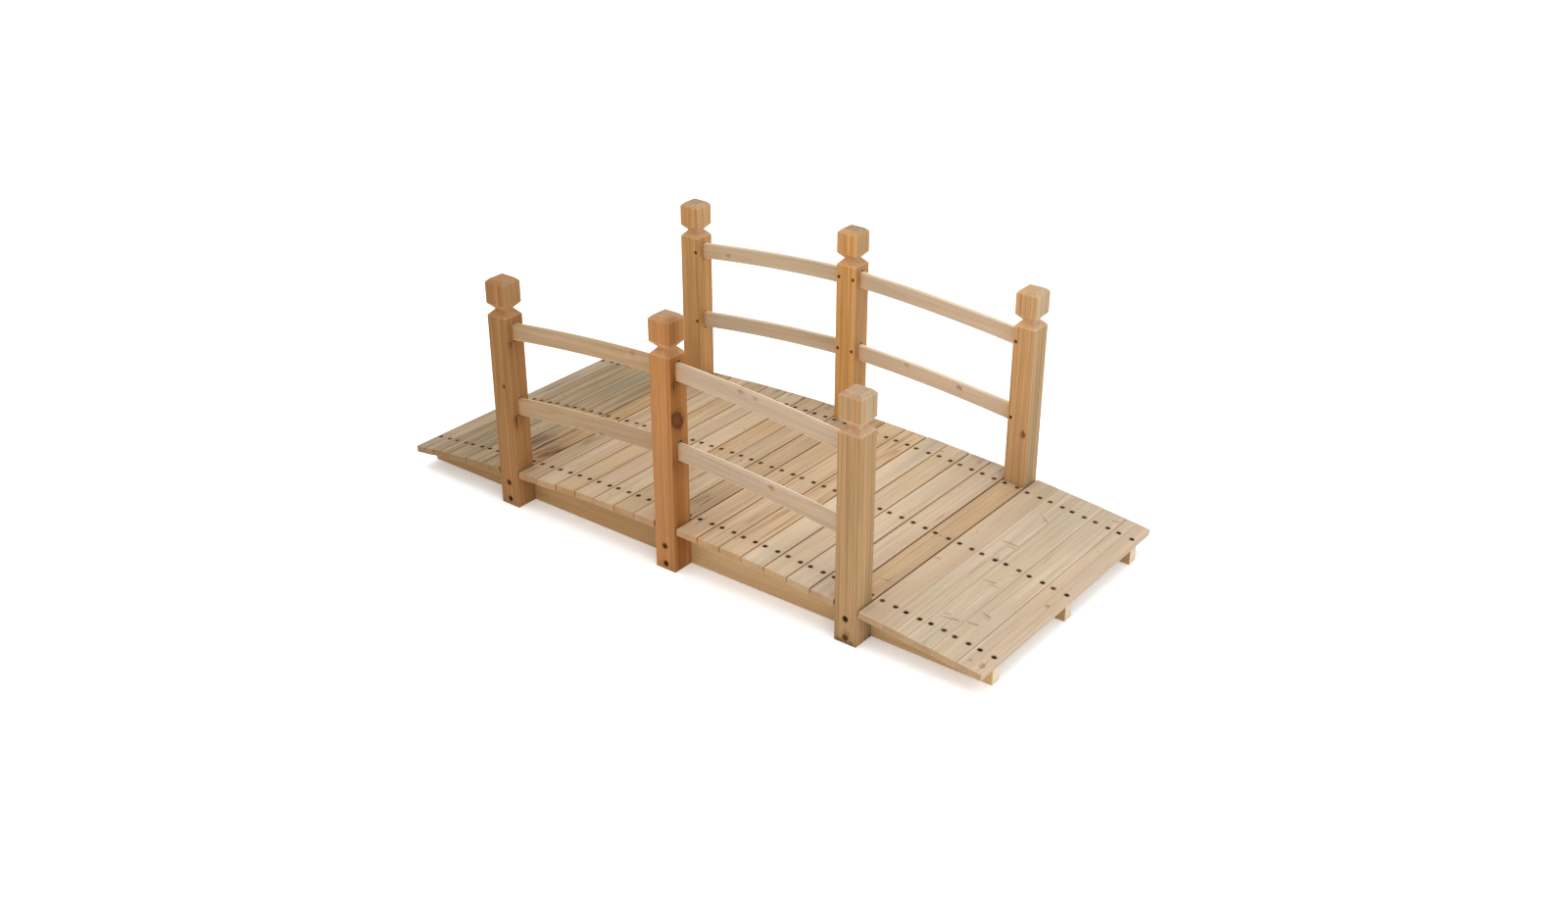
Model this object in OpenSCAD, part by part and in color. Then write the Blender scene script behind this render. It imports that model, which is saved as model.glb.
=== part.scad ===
// Arched garden footbridge in softwood.
// Three arched stringers lie flat on the ground and carry a deck of cross planks. Six posts with
// grooved square finials stand against the outer stringers, and curved rails run between them
// with their ends let into mortises. X runs along the walkway, Y across it and Z up, and the
// origin is on the ground under the middle of the bridge.

/* [Deck] */
// Width of the deck across the walkway, level with the posts' outer faces
deck_width = 670; // [500:5:900]
// Height of the walking surface at the crown of the arch
crown_height = 103; // [85:1:180]
// Height of the walking surface at each end of the arch
end_height = 52; // [42:1:75]
// Number of full planks between two posts of a side
bay_planks = 7; // [4:1:10]
// Number of full planks beyond each end post
end_planks = 5; // [2:1:8]
// Width of one plank
plank_width = 53.5; // [40:0.5:80]
// Thickness of one plank
plank_thickness = 15; // [10:0.5:22]
// Gap between neighbouring planks between the posts
bay_gap = 2.75; // [0.75:0.25:8]
// Gap between neighbouring planks beyond the end posts
end_gap = 0.75; // [0.75:0.25:8]
// Eased corner along the long edges of a plank
plank_ease = 1.5; // [0.5:0.25:3]
// Gap between a post and the full planks beside it
post_gap = 4; // [2:0.5:10]
// Gap along each long edge of a short plank that lies between two posts
short_plank_gap = 3; // [0.5:0.5:5]
// Gap between a post's inner face and the end of its short plank
butt_gap = 0.8; // [0.3:0.1:3]

/* [Stringers] */
// Thickness of one stringer
stringer_thickness = 25; // [18:1:45]
// Distance that a stringer stops short of the deck's end
stringer_setback = 5; // [3:1:20]

/* [Posts] */
// Width of a square post
post_width = 51; // [42:1:70]
// Height of the middle posts from the ground to the finial's top
mid_post_height = 555; // [500:1:750]
// How much lower the end posts stand than the middle ones
post_step = 32; // [0:1:50]
// Eased corner along a post's upright edges
post_ease = 1.5; // [0.5:0.25:4]

/* [Finials] */
// Height of the groove under the finial
groove_height = 26.5; // [10:0.5:40]
// Depth of the groove on each face
groove_depth = 12.5; // [5:0.5:16]
// Height of the finial's upright faces
finial_height = 46.5; // [30:0.5:80]
// Bevel round the finial's top
finial_bevel = 7.5; // [2:0.5:15]

/* [Rails] */
// Height of a rail
rail_height = 36; // [25:1:50]
// Thickness of a rail
rail_thickness = 12; // [8:0.5:20]
// Eased corner along a rail's long edges
rail_ease = 1.5; // [0.5:0.25:3]
// Distance from a post's shoulder down to the upper rail's centre line
rail_drop = 33.5; // [32:0.5:60]
// Distance from the upper rail's centre line down to the lower rail's
rail_spacing = 173; // [90:1:190]
// Rise of a rail's curve above the straight line between its posts
rail_rise = 5; // [1:0.5:12]
// Length of rail that is let into a post
tenon_length = 15; // [8:1:18]
// Play above and below a rail in its mortise
mortise_play = 1; // [0.5:0.25:3]
// Extra height of a mortise, open above a rail at the middle posts and below it at the end posts
mortise_slack = 3; // [0:0.5:6]
// Clearance on each cheek of a rail in its mortise
cheek_clearance = 0.2; // [0.1:0.1:0.8]
// Clearance past the end of a rail in its mortise
tenon_clearance = 0.8; // [0.3:0.1:1.5]

/* [Hidden] */
SIDES = ["front", "back"];
STATIONS = ["left", "mid", "right"];
BAYS = ["left", "right"];
ROWS = ["upper", "lower"];
STRINGERS = ["front", "mid", "back"];

// Fine enough for arcs of several metres radius
arc_segments = 1440;
// How far a cut runs out past the face that it opens
overcut = 1;

// Half the length of deck that is left free for a post
post_slot = post_width / 2 + post_gap;
// The boards laid side by side set the posts' spacing and the deck's length
post_spacing = 2 * post_slot + bay_planks * plank_width + (bay_planks - 1) * bay_gap;
end_run = end_planks * plank_width + (end_planks - 1) * end_gap;
half_length = post_spacing + post_slot + end_run;

arch_rise = crown_height - end_height;
arch_radius = (half_length * half_length + arch_rise * arch_rise) / (2 * arch_rise);
arch_centre_z = crown_height - arch_radius;

post_x = [-post_spacing, 0, post_spacing];
end_post_height = mid_post_height - post_step;
post_height = [end_post_height, mid_post_height, end_post_height];
post_y = deck_width / 2 - post_width / 2;
side_y = [-post_y, post_y];
inner_face_y = deck_width / 2 - post_width;
stringer_y = [-inner_face_y + stringer_thickness / 2, 0, inner_face_y - stringer_thickness / 2];

short_plank_width = 2 * (post_slot - short_plank_gap);
short_plank_length = 2 * (inner_face_y - butt_gap);

// Corners of a rectangle about the origin with its corners cut at 45 degrees
function eased_rectangle(w, h, ease) = [
    [w / 2 - ease, -h / 2],
    [w / 2, -h / 2 + ease],
    [w / 2, h / 2 - ease],
    [w / 2 - ease, h / 2],
    [-w / 2 + ease, h / 2],
    [-w / 2, h / 2 - ease],
    [-w / 2, -h / 2 + ease],
    [-w / 2 + ease, -h / 2]
];

// Height and slope of the walking surface at a distance x from the middle
function arch_z(x) = arch_centre_z + sqrt(arch_radius * arch_radius - x * x);
function arch_slope(x) = asin(x / arch_radius);

// Full planks laid side by side from an edge, each as [middle, width, length]
function plank_row(edge, count, gap) =
    [for (i = [0 : 1 : count - 1])
        [edge + plank_width / 2 + i * (plank_width + gap), plank_width, deck_width]];

// Short plank between the two posts of a station
function short_plank(station) = [post_x[station], short_plank_width, short_plank_length];

planks = concat(
    plank_row(-half_length, end_planks, end_gap),
    [short_plank(0)],
    plank_row(post_x[0] + post_slot, bay_planks, bay_gap),
    [short_plank(1)],
    plank_row(post_x[1] + post_slot, bay_planks, bay_gap),
    [short_plank(2)],
    plank_row(post_x[2] + post_slot, end_planks, end_gap)
);

// Height at which a post's shaft ends and its groove begins
function shoulder_z(station) =
    post_height[station] - finial_bevel - finial_height - groove_height;

// Half outline of a post seen from the side, from the foot to the finial's top
function post_outline(station) =
    let (
        edge = post_width / 2,
        shoulder = shoulder_z(station),
        top = post_height[station]
    )
    [
        [edge, 0],
        [edge, shoulder],
        [edge - groove_depth, shoulder + groove_height / 2],
        [edge, shoulder + groove_height],
        [edge, top - finial_bevel],
        [edge - finial_bevel, top]
    ];

function mirrored(points) = [for (i = [len(points) - 1 : -1 : 0]) [-points[i][0], points[i][1]]];

// A rail's centre line is an arc from post face to post face
function rail_z(station, row) = shoulder_z(station) - rail_drop - row * rail_spacing;
function rail_start(bay, row) = [post_x[bay] + post_width / 2, rail_z(bay, row)];
function rail_end(bay, row) = [post_x[bay + 1] - post_width / 2, rail_z(bay + 1, row)];
function rail_chord(bay, row) = norm(rail_end(bay, row) - rail_start(bay, row));
function rail_radius(bay, row) =
    rail_chord(bay, row) * rail_chord(bay, row) / (8 * rail_rise) + rail_rise / 2;
function rail_tilt(bay, row) =
    let (run = rail_end(bay, row) - rail_start(bay, row))
    atan2(run[1], run[0]);
function rail_half_angle(bay, row) = asin(rail_chord(bay, row) / (2 * rail_radius(bay, row)));
function rail_centre(bay, row) =
    let (
        middle = (rail_start(bay, row) + rail_end(bay, row)) / 2,
        tilt = rail_tilt(bay, row)
    )
    middle + (rail_radius(bay, row) - rail_rise) * [sin(tilt), -cos(tilt)];

// Slope of a rail where it enters the post at its start (-1) or its end (1)
function rail_slope(bay, row, which) =
    rail_tilt(bay, row) - which * rail_half_angle(bay, row);

function post_name(side, station) = str("post_", SIDES[side], "_", STATIONS[station]);
function rail_name(side, bay, row) = str("rail_", SIDES[side], "_", BAYS[bay], "_", ROWS[row]);
function stringer_name(i) = str("stringer_", STRINGERS[i]);
function plank_name(i) = str("plank_", i < 9 ? "0" : "", i + 1);

// Extrudes an outline drawn in X and Z by a depth along Y
module across(depth) {
    rotate([90, 0, 0])
        linear_extrude(depth, center = true)
            children();
}

// Outline of a post extruded across its width
module post_slab(station) {
    across(post_width)
        polygon(concat(post_outline(station), mirrored(post_outline(station))));
}

// Level pocket in a post's left (-1) or right (1) face for the end of a rail
module mortise(station, face, row) {
    bay = face > 0 ? station : station - 1;
    slope = rail_slope(bay, row, -face);
    depth = tenon_length + tenon_clearance;
    drift = tenon_length * tan(slope);
    height = rail_height / cos(slope) + abs(drift) + 2 * mortise_play + mortise_slack;
    width = rail_thickness + 2 * cheek_clearance;
    middle_x = (post_width - depth + overcut) / 2;
    slack_shift = (station == 1 ? 1 : -1) * mortise_slack / 2;
    middle_z = rail_z(station, row) - face * drift / 2 + slack_shift;
    translate([face * middle_x, 0, middle_z])
        cube([depth + overcut, width, height], center = true);
}

module post(side, station) {
    faces = [if (station > 0) -1, if (station < 2) 1];
    color([0.80, 0.58, 0.36])
        translate([post_x[station], side_y[side], 0])
            difference() {
                intersection() {
                    post_slab(station);
                    rotate([0, 0, 90])
                        post_slab(station);
                    linear_extrude(post_height[station])
                        polygon(eased_rectangle(post_width, post_width, post_ease));
                }
                for (face = faces, row = [0 : 1])
                    mortise(station, face, row);
            }
}

module rail(side, bay, row) {
    radius = rail_radius(bay, row);
    centre = rail_centre(bay, row);
    start = rail_start(bay, row);
    finish = rail_end(bay, row);
    length = finish[0] - start[0] + 2 * tenon_length;
    // The arc is swept past both upright ends and then cut off there
    spare_angle = asin((tenon_length + rail_height) / radius);
    sweep = 2 * (rail_half_angle(bay, row) + spare_angle);
    color([0.84, 0.68, 0.52])
        translate([0, side_y[side], 0])
            intersection() {
                translate([centre[0], 0, centre[1]])
                    rotate([90, 0, 0])
                        rotate([0, 0, 90 + rail_tilt(bay, row) - sweep / 2])
                            rotate_extrude(angle = sweep, $fn = arc_segments)
                                translate([radius, 0])
                                    polygon(eased_rectangle(rail_height, rail_thickness, rail_ease));
                translate([(start[0] + finish[0]) / 2, 0, (start[1] + finish[1]) / 2])
                    cube([length, rail_thickness + 2 * overcut, length], center = true);
            }
}

module stringer(i) {
    length = 2 * (half_length - stringer_setback);
    color([0.78, 0.62, 0.44])
        translate([0, stringer_y[i], 0])
            across(stringer_thickness)
                intersection() {
                    translate([0, arch_centre_z])
                        circle(r = arch_radius - plank_thickness, $fn = arc_segments);
                    translate([-length / 2, 0])
                        square([length, crown_height]);
                }
}

module plank(i) {
    middle = planks[i][0];
    width = planks[i][1];
    length = planks[i][2];
    color([0.85, 0.72, 0.52])
        translate([middle, 0, arch_z(middle)])
            rotate([0, arch_slope(middle), 0])
                translate([0, 0, -plank_thickness / 2])
                    across(length)
                        polygon(eased_rectangle(width, plank_thickness, plank_ease));
}

for (side = [0 : 1], station = [0 : 2])
    post(side, station);

for (side = [0 : 1], bay = [0 : 1], row = [0 : 1])
    rail(side, bay, row);

for (i = [0 : 2])
    stringer(i);

for (i = [0 : len(planks) - 1])
    plank(i);
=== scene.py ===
"""Dresses the arched garden footbridge in sawn softwood.

Each board is one numpy surface: a rounded section carried along a run of stations, with its screw
holes and rail pockets pressed into it. A board carries its own grain, knots, tint and wear, and
the light and shade painted onto it, as point values, and the wood finishes read those values.
Lengths are in metres, X runs along the walkway, Y across it and Z up.
"""

import logging
import math
from dataclasses import dataclass, field
from enum import Enum
from functools import reduce
from typing import Callable

import bpy
import numpy as np
from mathutils import Matrix, Vector


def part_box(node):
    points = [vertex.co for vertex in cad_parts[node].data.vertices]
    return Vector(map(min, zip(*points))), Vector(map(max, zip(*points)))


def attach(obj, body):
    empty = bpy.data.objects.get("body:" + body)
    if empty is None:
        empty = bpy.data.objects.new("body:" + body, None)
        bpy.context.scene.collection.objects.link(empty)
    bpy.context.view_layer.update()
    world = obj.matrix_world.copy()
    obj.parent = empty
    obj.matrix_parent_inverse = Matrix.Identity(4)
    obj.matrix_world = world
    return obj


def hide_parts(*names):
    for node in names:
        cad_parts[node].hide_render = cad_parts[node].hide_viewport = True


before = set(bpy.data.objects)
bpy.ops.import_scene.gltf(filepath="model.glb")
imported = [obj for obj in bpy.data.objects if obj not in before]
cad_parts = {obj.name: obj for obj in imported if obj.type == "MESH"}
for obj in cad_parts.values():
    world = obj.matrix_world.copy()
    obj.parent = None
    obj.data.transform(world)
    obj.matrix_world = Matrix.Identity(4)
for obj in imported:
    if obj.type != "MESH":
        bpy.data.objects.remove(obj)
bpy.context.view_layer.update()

log = logging.getLogger("footbridge")
Array = np.ndarray
Placing = Callable[[Array, Array], Array]
Pair = tuple[float, float]
Triple = tuple[float, float, float]
Colour = Triple

BODY = "root"
SEED = 1906
TINY = 1e-9

# Share of a direction along Y from which it counts as being on that axis
NEAR_AXIS = 0.9
# Edges that turn by more than this stay sharp
SHARP_ANGLE = math.radians(48.0)
# Flat strip kept beside each rounded edge, so that the faces shade flat
HOLD = 0.0006
# Points on each rounded edge
ROUND_POINTS = 4
# How far in from the rim the last ring of a board's end lies
CAP_RING = 0.0035
# Rings of a screw hole as shares of its patch: floor, wall, crushed fibres and the patch's edge
PATCH_RINGS = (0.18, 0.37, 0.56, 0.64, 0.85, 1.0)
HOLE_FLOOR = PATCH_RINGS[2]
HOLE_RIM = PATCH_RINGS[3]
HOLE_EDGE = PATCH_RINGS[4]
# How deep a hole is, and how dark: painted shade on its floor and wall and a real mark at its crushed
# edge, from its floor to its edge and the patch's
HOLE_SINK = (1.0, 0.1, 0.0)
HOLE_STAIN_AND_SHADE = (1.0, 0.8, 0.25, 0.0)
# Width of a pocket's wall in plan, next to nothing
POCKET_WALL = 0.00015
# Width of the line of painted shade round a pocket, where its gap lies in shade, and how dark it is
POCKET_LIP = 0.0009
LIP_SHADE = 0.6
# Strength of the painted shadow that a rail casts down a post below its pocket
RAIL_SHADOW_STRENGTH = 1.4
# Half the length over which a tint along a board fades in
FADE = 0.0015
KNOT_TRAITS = ("knot_a", "knot_b", "knot_c", "knot_d")
# Distance, in knot radii, that stands for no knot
NO_KNOT = 60.0
# Width of a spike knot's dash, and the share of its half length that is dark
SPIKE_WIDTH = 0.0026
SPIKE_SHARE = 0.7
# Half the width of a resin streak
STREAK_HALF = 0.0011
# Length of the trunk that the boards are sawn from, so that no two share their grain
TRUNK = 40.0
# How much darker or lighter a board may be than its like
LIGHT_RANGE = (0.97, 1.03)


def smooth_step(low: float, high: float, value: Array) -> Array:
    """Rises from 0 at low to 1 at high as 3t^2 - 2t^3 of the clamped share t.

    Args:
        low: Value where the step begins.
        high: Value where the step ends.
        value: Values to step.

    Returns:
        The stepped values.
    """
    share = np.clip((value - low) / (high - low), 0.0, 1.0)
    return share * share * (3.0 - 2.0 * share)


def patch_lines(centre: float, reach: float) -> Array:
    """Grid lines through a screw hole: its centre, and every ring on both sides of it.

    Args:
        centre: Middle of the hole along the line's own axis.
        reach: Half the width of the square patch round the hole.

    Returns:
        The sorted line positions.
    """
    rings = np.array(PATCH_RINGS) * reach
    return centre + np.concatenate([-rings[::-1], [0.0], rings])


def pocket_lines(centre: float, half: float) -> Array:
    """Grid lines at both walls of a pocket: the wall's foot, its top and the edge of its dark lip."""
    edges = np.array([half, half + POCKET_WALL, half + POCKET_WALL + POCKET_LIP])
    return centre + np.concatenate([-edges[::-1], edges])


class Face(Enum):
    """The long faces of a board's section, in order round it. The value counts quarter turns."""

    BELOW = 0
    RIGHT = 1
    ABOVE = 2
    LEFT = 3

    @property
    def normal(self) -> Array:
        """Outward direction in the section's own two axes."""
        turn = (self.value - 1) * math.pi / 2
        return np.round([math.cos(turn), math.sin(turn)])

    @property
    def travel(self) -> Array:
        """Direction along the face, going round the section anticlockwise."""
        normal = self.normal
        return np.array([-normal[1], normal[0]])

    @property
    def axis(self) -> int:
        """Index of the section axis that runs along the face."""
        return int(abs(self.travel[1]))


class Word(Enum):
    """An option whose own name is a word in the nodes' names."""

    @property
    def word(self) -> str:
        """The option's word in the nodes' names."""
        return self.name.lower()


class Side(Word):
    """The two sides of the bridge. The value is the sign of Y."""

    FRONT = -1
    BACK = 1


class Station(Word):
    """The three places along the bridge where a pair of posts stands."""

    LEFT = 0
    MID = 1
    RIGHT = 2

    @property
    def rail_turns(self) -> tuple[int, ...]:
        """Signs of X on the faces that rails enter."""
        return {0: (1,), 1: (-1, 1), 2: (-1,)}[self.value]


class Bay(Word):
    """The two bays between posts. The value is the station at the bay's left."""

    LEFT = 0
    RIGHT = 1


class Row(Word):
    """The two rails of a bay. The value counts downwards."""

    UPPER = 0
    LOWER = 1


@dataclass(frozen=True)
class Cast:
    """How one board differs from its finish: a tint, and how strong its rings, greyness and heart are."""

    tint: Colour
    figure: float = 0.8
    age: float = 0.2
    heart: float = 0.4


class Tone(Enum):
    """The casts that single boards have."""

    PLAIN = Cast((0.96, 0.97, 0.99))
    PALE = Cast((1.06, 1.16, 1.26), figure=0.5, age=0.1)
    CHALK = Cast((1.20, 1.24, 1.30), figure=0.6, age=0.05)
    BLUSH = Cast((0.98, 1.03, 1.12), figure=0.7, age=0.15)
    SEDGE = Cast((0.98, 1.07, 1.17), figure=0.6, age=0.25)
    SAND = Cast((0.76, 0.70, 0.60), figure=1.1, age=0.4)
    OATMEAL = Cast((0.86, 0.87, 0.89))
    CREAM = Cast((1.06, 1.10, 1.14), figure=0.7, age=0.15)
    STRAW = Cast((1.06, 1.06, 1.03), figure=1.2, age=0.1)
    FLAMED = Cast((1.06, 1.04, 1.0), figure=1.8, age=0.1)
    HONEY = Cast((0.95, 0.92, 0.85), figure=1.1, age=0.2)
    OCHRE = Cast((0.90, 0.86, 0.80), figure=1.0, age=0.3)
    BUFF = Cast((0.88, 0.86, 0.80), figure=0.9, age=0.5)
    ASHEN = Cast((0.77, 0.80, 0.81), figure=0.9, age=0.8)
    GREYED = Cast((0.69, 0.70, 0.63), figure=0.9, age=0.9)
    DUSKY = Cast((0.68, 0.66, 0.58), figure=1.2, age=1.0)
    TAWNY = Cast((0.77, 0.68, 0.54), figure=1.4, age=0.8)
    RUSSET = Cast((0.97, 0.79, 0.62), figure=0.9, age=0.0, heart=1.0)
    BROWN = Cast((0.70, 0.60, 0.47), figure=0.9, age=0.1, heart=0.2)
    AMBER = Cast((1.10, 1.04, 0.89), figure=0.8, age=0.0)
    CARAMEL = Cast((0.78, 0.68, 0.53), figure=0.8, age=0.0)
    GOLDEN = Cast((1.20, 1.13, 0.90), figure=0.8, age=0.0)
    BISCUIT = Cast((0.90, 0.96, 1.02), figure=1.2, age=0.05, heart=0.1)
    ROSE = Cast((0.84, 0.85, 0.88))
    UMBER = Cast((0.62, 0.52, 0.42), figure=0.8, age=0.4)


@dataclass(frozen=True)
class Section:
    """Cross-section of a sawn board: a rectangle with rounded corners and chosen lines on its faces."""

    half_width: float
    half_height: float
    ease: float
    lines: dict[Face, Array] = field(default_factory=dict)

    @property
    def flat_half(self) -> Array:
        """Half sizes of the rectangle without its rounded corners."""
        return np.array([self.half_width, self.half_height]) - self.ease

    def template(self) -> tuple[Array, Array, Array]:
        """Points round the section, as shares of the flat half sizes plus the ease along a normal.

        Formula: a point on a face is normal + travel * position / reach, and a corner turns the
        normal through a quarter circle while the shares stay at plus or minus one.

        Returns:
            The shares, the unit normals and each point's face number, which is -1 on a corner.
        """
        turns = np.linspace(0.0, math.pi / 2, ROUND_POINTS)
        shares, normals, faces = [], [], []
        for face in Face:
            reach = float(np.abs(face.travel) @ self.flat_half)
            spots = np.sort(face.travel.sum() * np.asarray(self.lines.get(face, ()), float))
            spots = np.concatenate([[HOLD - reach], spots, [reach - HOLD]])
            shares.append(face.normal + face.travel * (spots / reach)[:, None])
            normals.append(np.tile(face.normal, (len(spots), 1)))
            faces.append(np.full(len(spots), face.value))
            angle = (face.value - 1) * math.pi / 2 + turns
            shares.append(np.tile(face.normal + face.travel, (ROUND_POINTS, 1)))
            normals.append(np.stack([np.cos(angle), np.sin(angle)], axis=1))
            faces.append(np.full(ROUND_POINTS, -1))
        return np.concatenate(shares), np.concatenate(normals), np.concatenate(faces)


@dataclass(frozen=True)
class Run:
    """Stations along a board: their place, how far the section draws in there, wear and end grain."""

    along: Array
    inset: Array
    wear: Array
    end: Array

    @classmethod
    def over(cls, corners: list[Pair], ease: float, lines: Array) -> "Run":
        """Carries stations over a board's outline and rounds the outline's corners.

        Formula: a corner C becomes (1-t)^2 A + 2t(1-t) C + t^2 B, with A and B one ease away from C on
        its two legs. End grain is the share of a leg's direction that runs across the board.

        Args:
            corners: The outline as (place along, inset) pairs, from cap to cap.
            ease: Distance from a corner at which its rounding starts.
            lines: More stations, on stretches where nothing is inset.

        Returns:
            The run, sorted along the board.
        """
        path = np.array(corners, float)
        legs = np.diff(path, axis=0)
        heading = legs / np.linalg.norm(legs, axis=1, keepdims=True)
        cut = np.abs(heading[:, 1])
        corner = path[1:-1, None]
        share = np.linspace(0.0, 1.0, ROUND_POINTS)[None, :, None]
        before = corner - heading[:-1, None] * ease
        after = corner + heading[1:, None] * ease
        bend = (1 - share) ** 2 * before + 2 * share * (1 - share) * corner + share**2 * after
        lead = before - heading[:-1, None] * HOLD
        trail = after + heading[1:, None] * HOLD
        rounded = np.concatenate([lead, bend, trail], axis=1).reshape(-1, 2)
        blend = np.concatenate([[0.0], share.ravel(), [1.0]])[None]
        end = (cut[:-1, None] * (1 - blend) + cut[1:, None] * blend).ravel()
        worn = np.tile(np.concatenate([[0.0], np.ones(ROUND_POINTS), [0.0]]), len(path) - 2)
        none = np.zeros(len(lines))
        along = np.concatenate([path[:1, 0], rounded[:, 0], path[-1:, 0], lines])
        inset = np.concatenate([path[:1, 1], rounded[:, 1], path[-1:, 1], none])
        wear = np.concatenate([[0.0], worn, [0.0], none])
        end = np.concatenate([[cut[0]], end, [cut[-1]], none])
        order = np.argsort(along, kind="stable")
        return cls(along[order], inset[order], wear[order], end[order])

    @classmethod
    def straight(cls, low: float, high: float, ease: float, lines: Array) -> "Run":
        """Carries stations along a plain board that is cut square at both ends."""
        return cls.over([(low, CAP_RING), (low, 0.0), (high, 0.0), (high, CAP_RING)], ease, lines)


@dataclass(frozen=True)
class Bore:
    """A screw hole pressed into one face of a board."""

    face: Face
    across: float
    along: float
    reach: float
    depth: float
    shift: Pair = (0.0, 0.0)


@dataclass(frozen=True)
class Pocket:
    """A square-cut mortise in one face of a board."""

    face: Face
    along: float
    half_width: float
    half_height: float
    depth: float


@dataclass(frozen=True)
class Knot:
    """A branch knot that runs through a board, across one of its section's axes, or ends at one face."""

    along: float
    across: float
    radius: float
    darkness: float = 0.7
    axis: int = 0
    stretch: float = 1.25
    slant: float = 0.0
    face: Face | None = None

    def measure(self, across: Array, along: Array) -> Array:
        """Measures points from the knot in knot radii.

        Formula: the distance across is (width - place) / radius, and the distance along is
        (length - place) / (radius * stretch). A long knot leans across the board by slant * length,
        and a short one leans along it by slant * width.

        Args:
            across: Places in the section.
            along: Places along the board.

        Returns:
            The distance across, the distance along and the darkness at each point.
        """
        wide = across[..., self.axis] - self.across
        long = along - self.along
        if self.stretch > 1.0:
            wide = wide - self.slant * along
        else:
            long = long - self.slant * wide
        dark = np.full_like(along, self.darkness)
        return np.stack([wide / self.radius, long / (self.radius * self.stretch), dark], axis=-1)


def slash(along: float, across: float, half: float, slant: float = 0.1, darkness: float = 0.7) -> Knot:
    """A spike knot: a branch sawn along its length, which shows as a thin dash across the board."""
    return Knot(along, across, half * SPIKE_SHARE, darkness, stretch=SPIKE_WIDTH / half, slant=slant)


def streak(along: float, across: float, half: float, slant: float = 0.0, darkness: float = 0.6) -> Knot:
    """A resin streak: a thin brown line along the grain, whose slant is in widths for each length."""
    middle = across - slant * along
    return Knot(along, middle, STREAK_HALF, darkness, stretch=half / STREAK_HALF, slant=slant)


def cheek_knot(along: float, above: float, radius: float, darkness: float, stretch: float) -> Knot:
    """A knot that shows on the two upright faces of a board."""
    return Knot(along, above, radius, darkness, axis=1, stretch=stretch)


@dataclass(frozen=True)
class Blot:
    """A darkened stretch of a board, darkest at its middle and none past its reach: a water mark on
    some boards, a painted shadow on others.
    """

    middle: float
    reach: float
    strength: float


@dataclass(frozen=True)
class Seat:
    """Where a screw head sits: the middle of a hole's floor, its outward normal and its radius."""

    place: Array
    normal: Array
    radius: float


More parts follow.
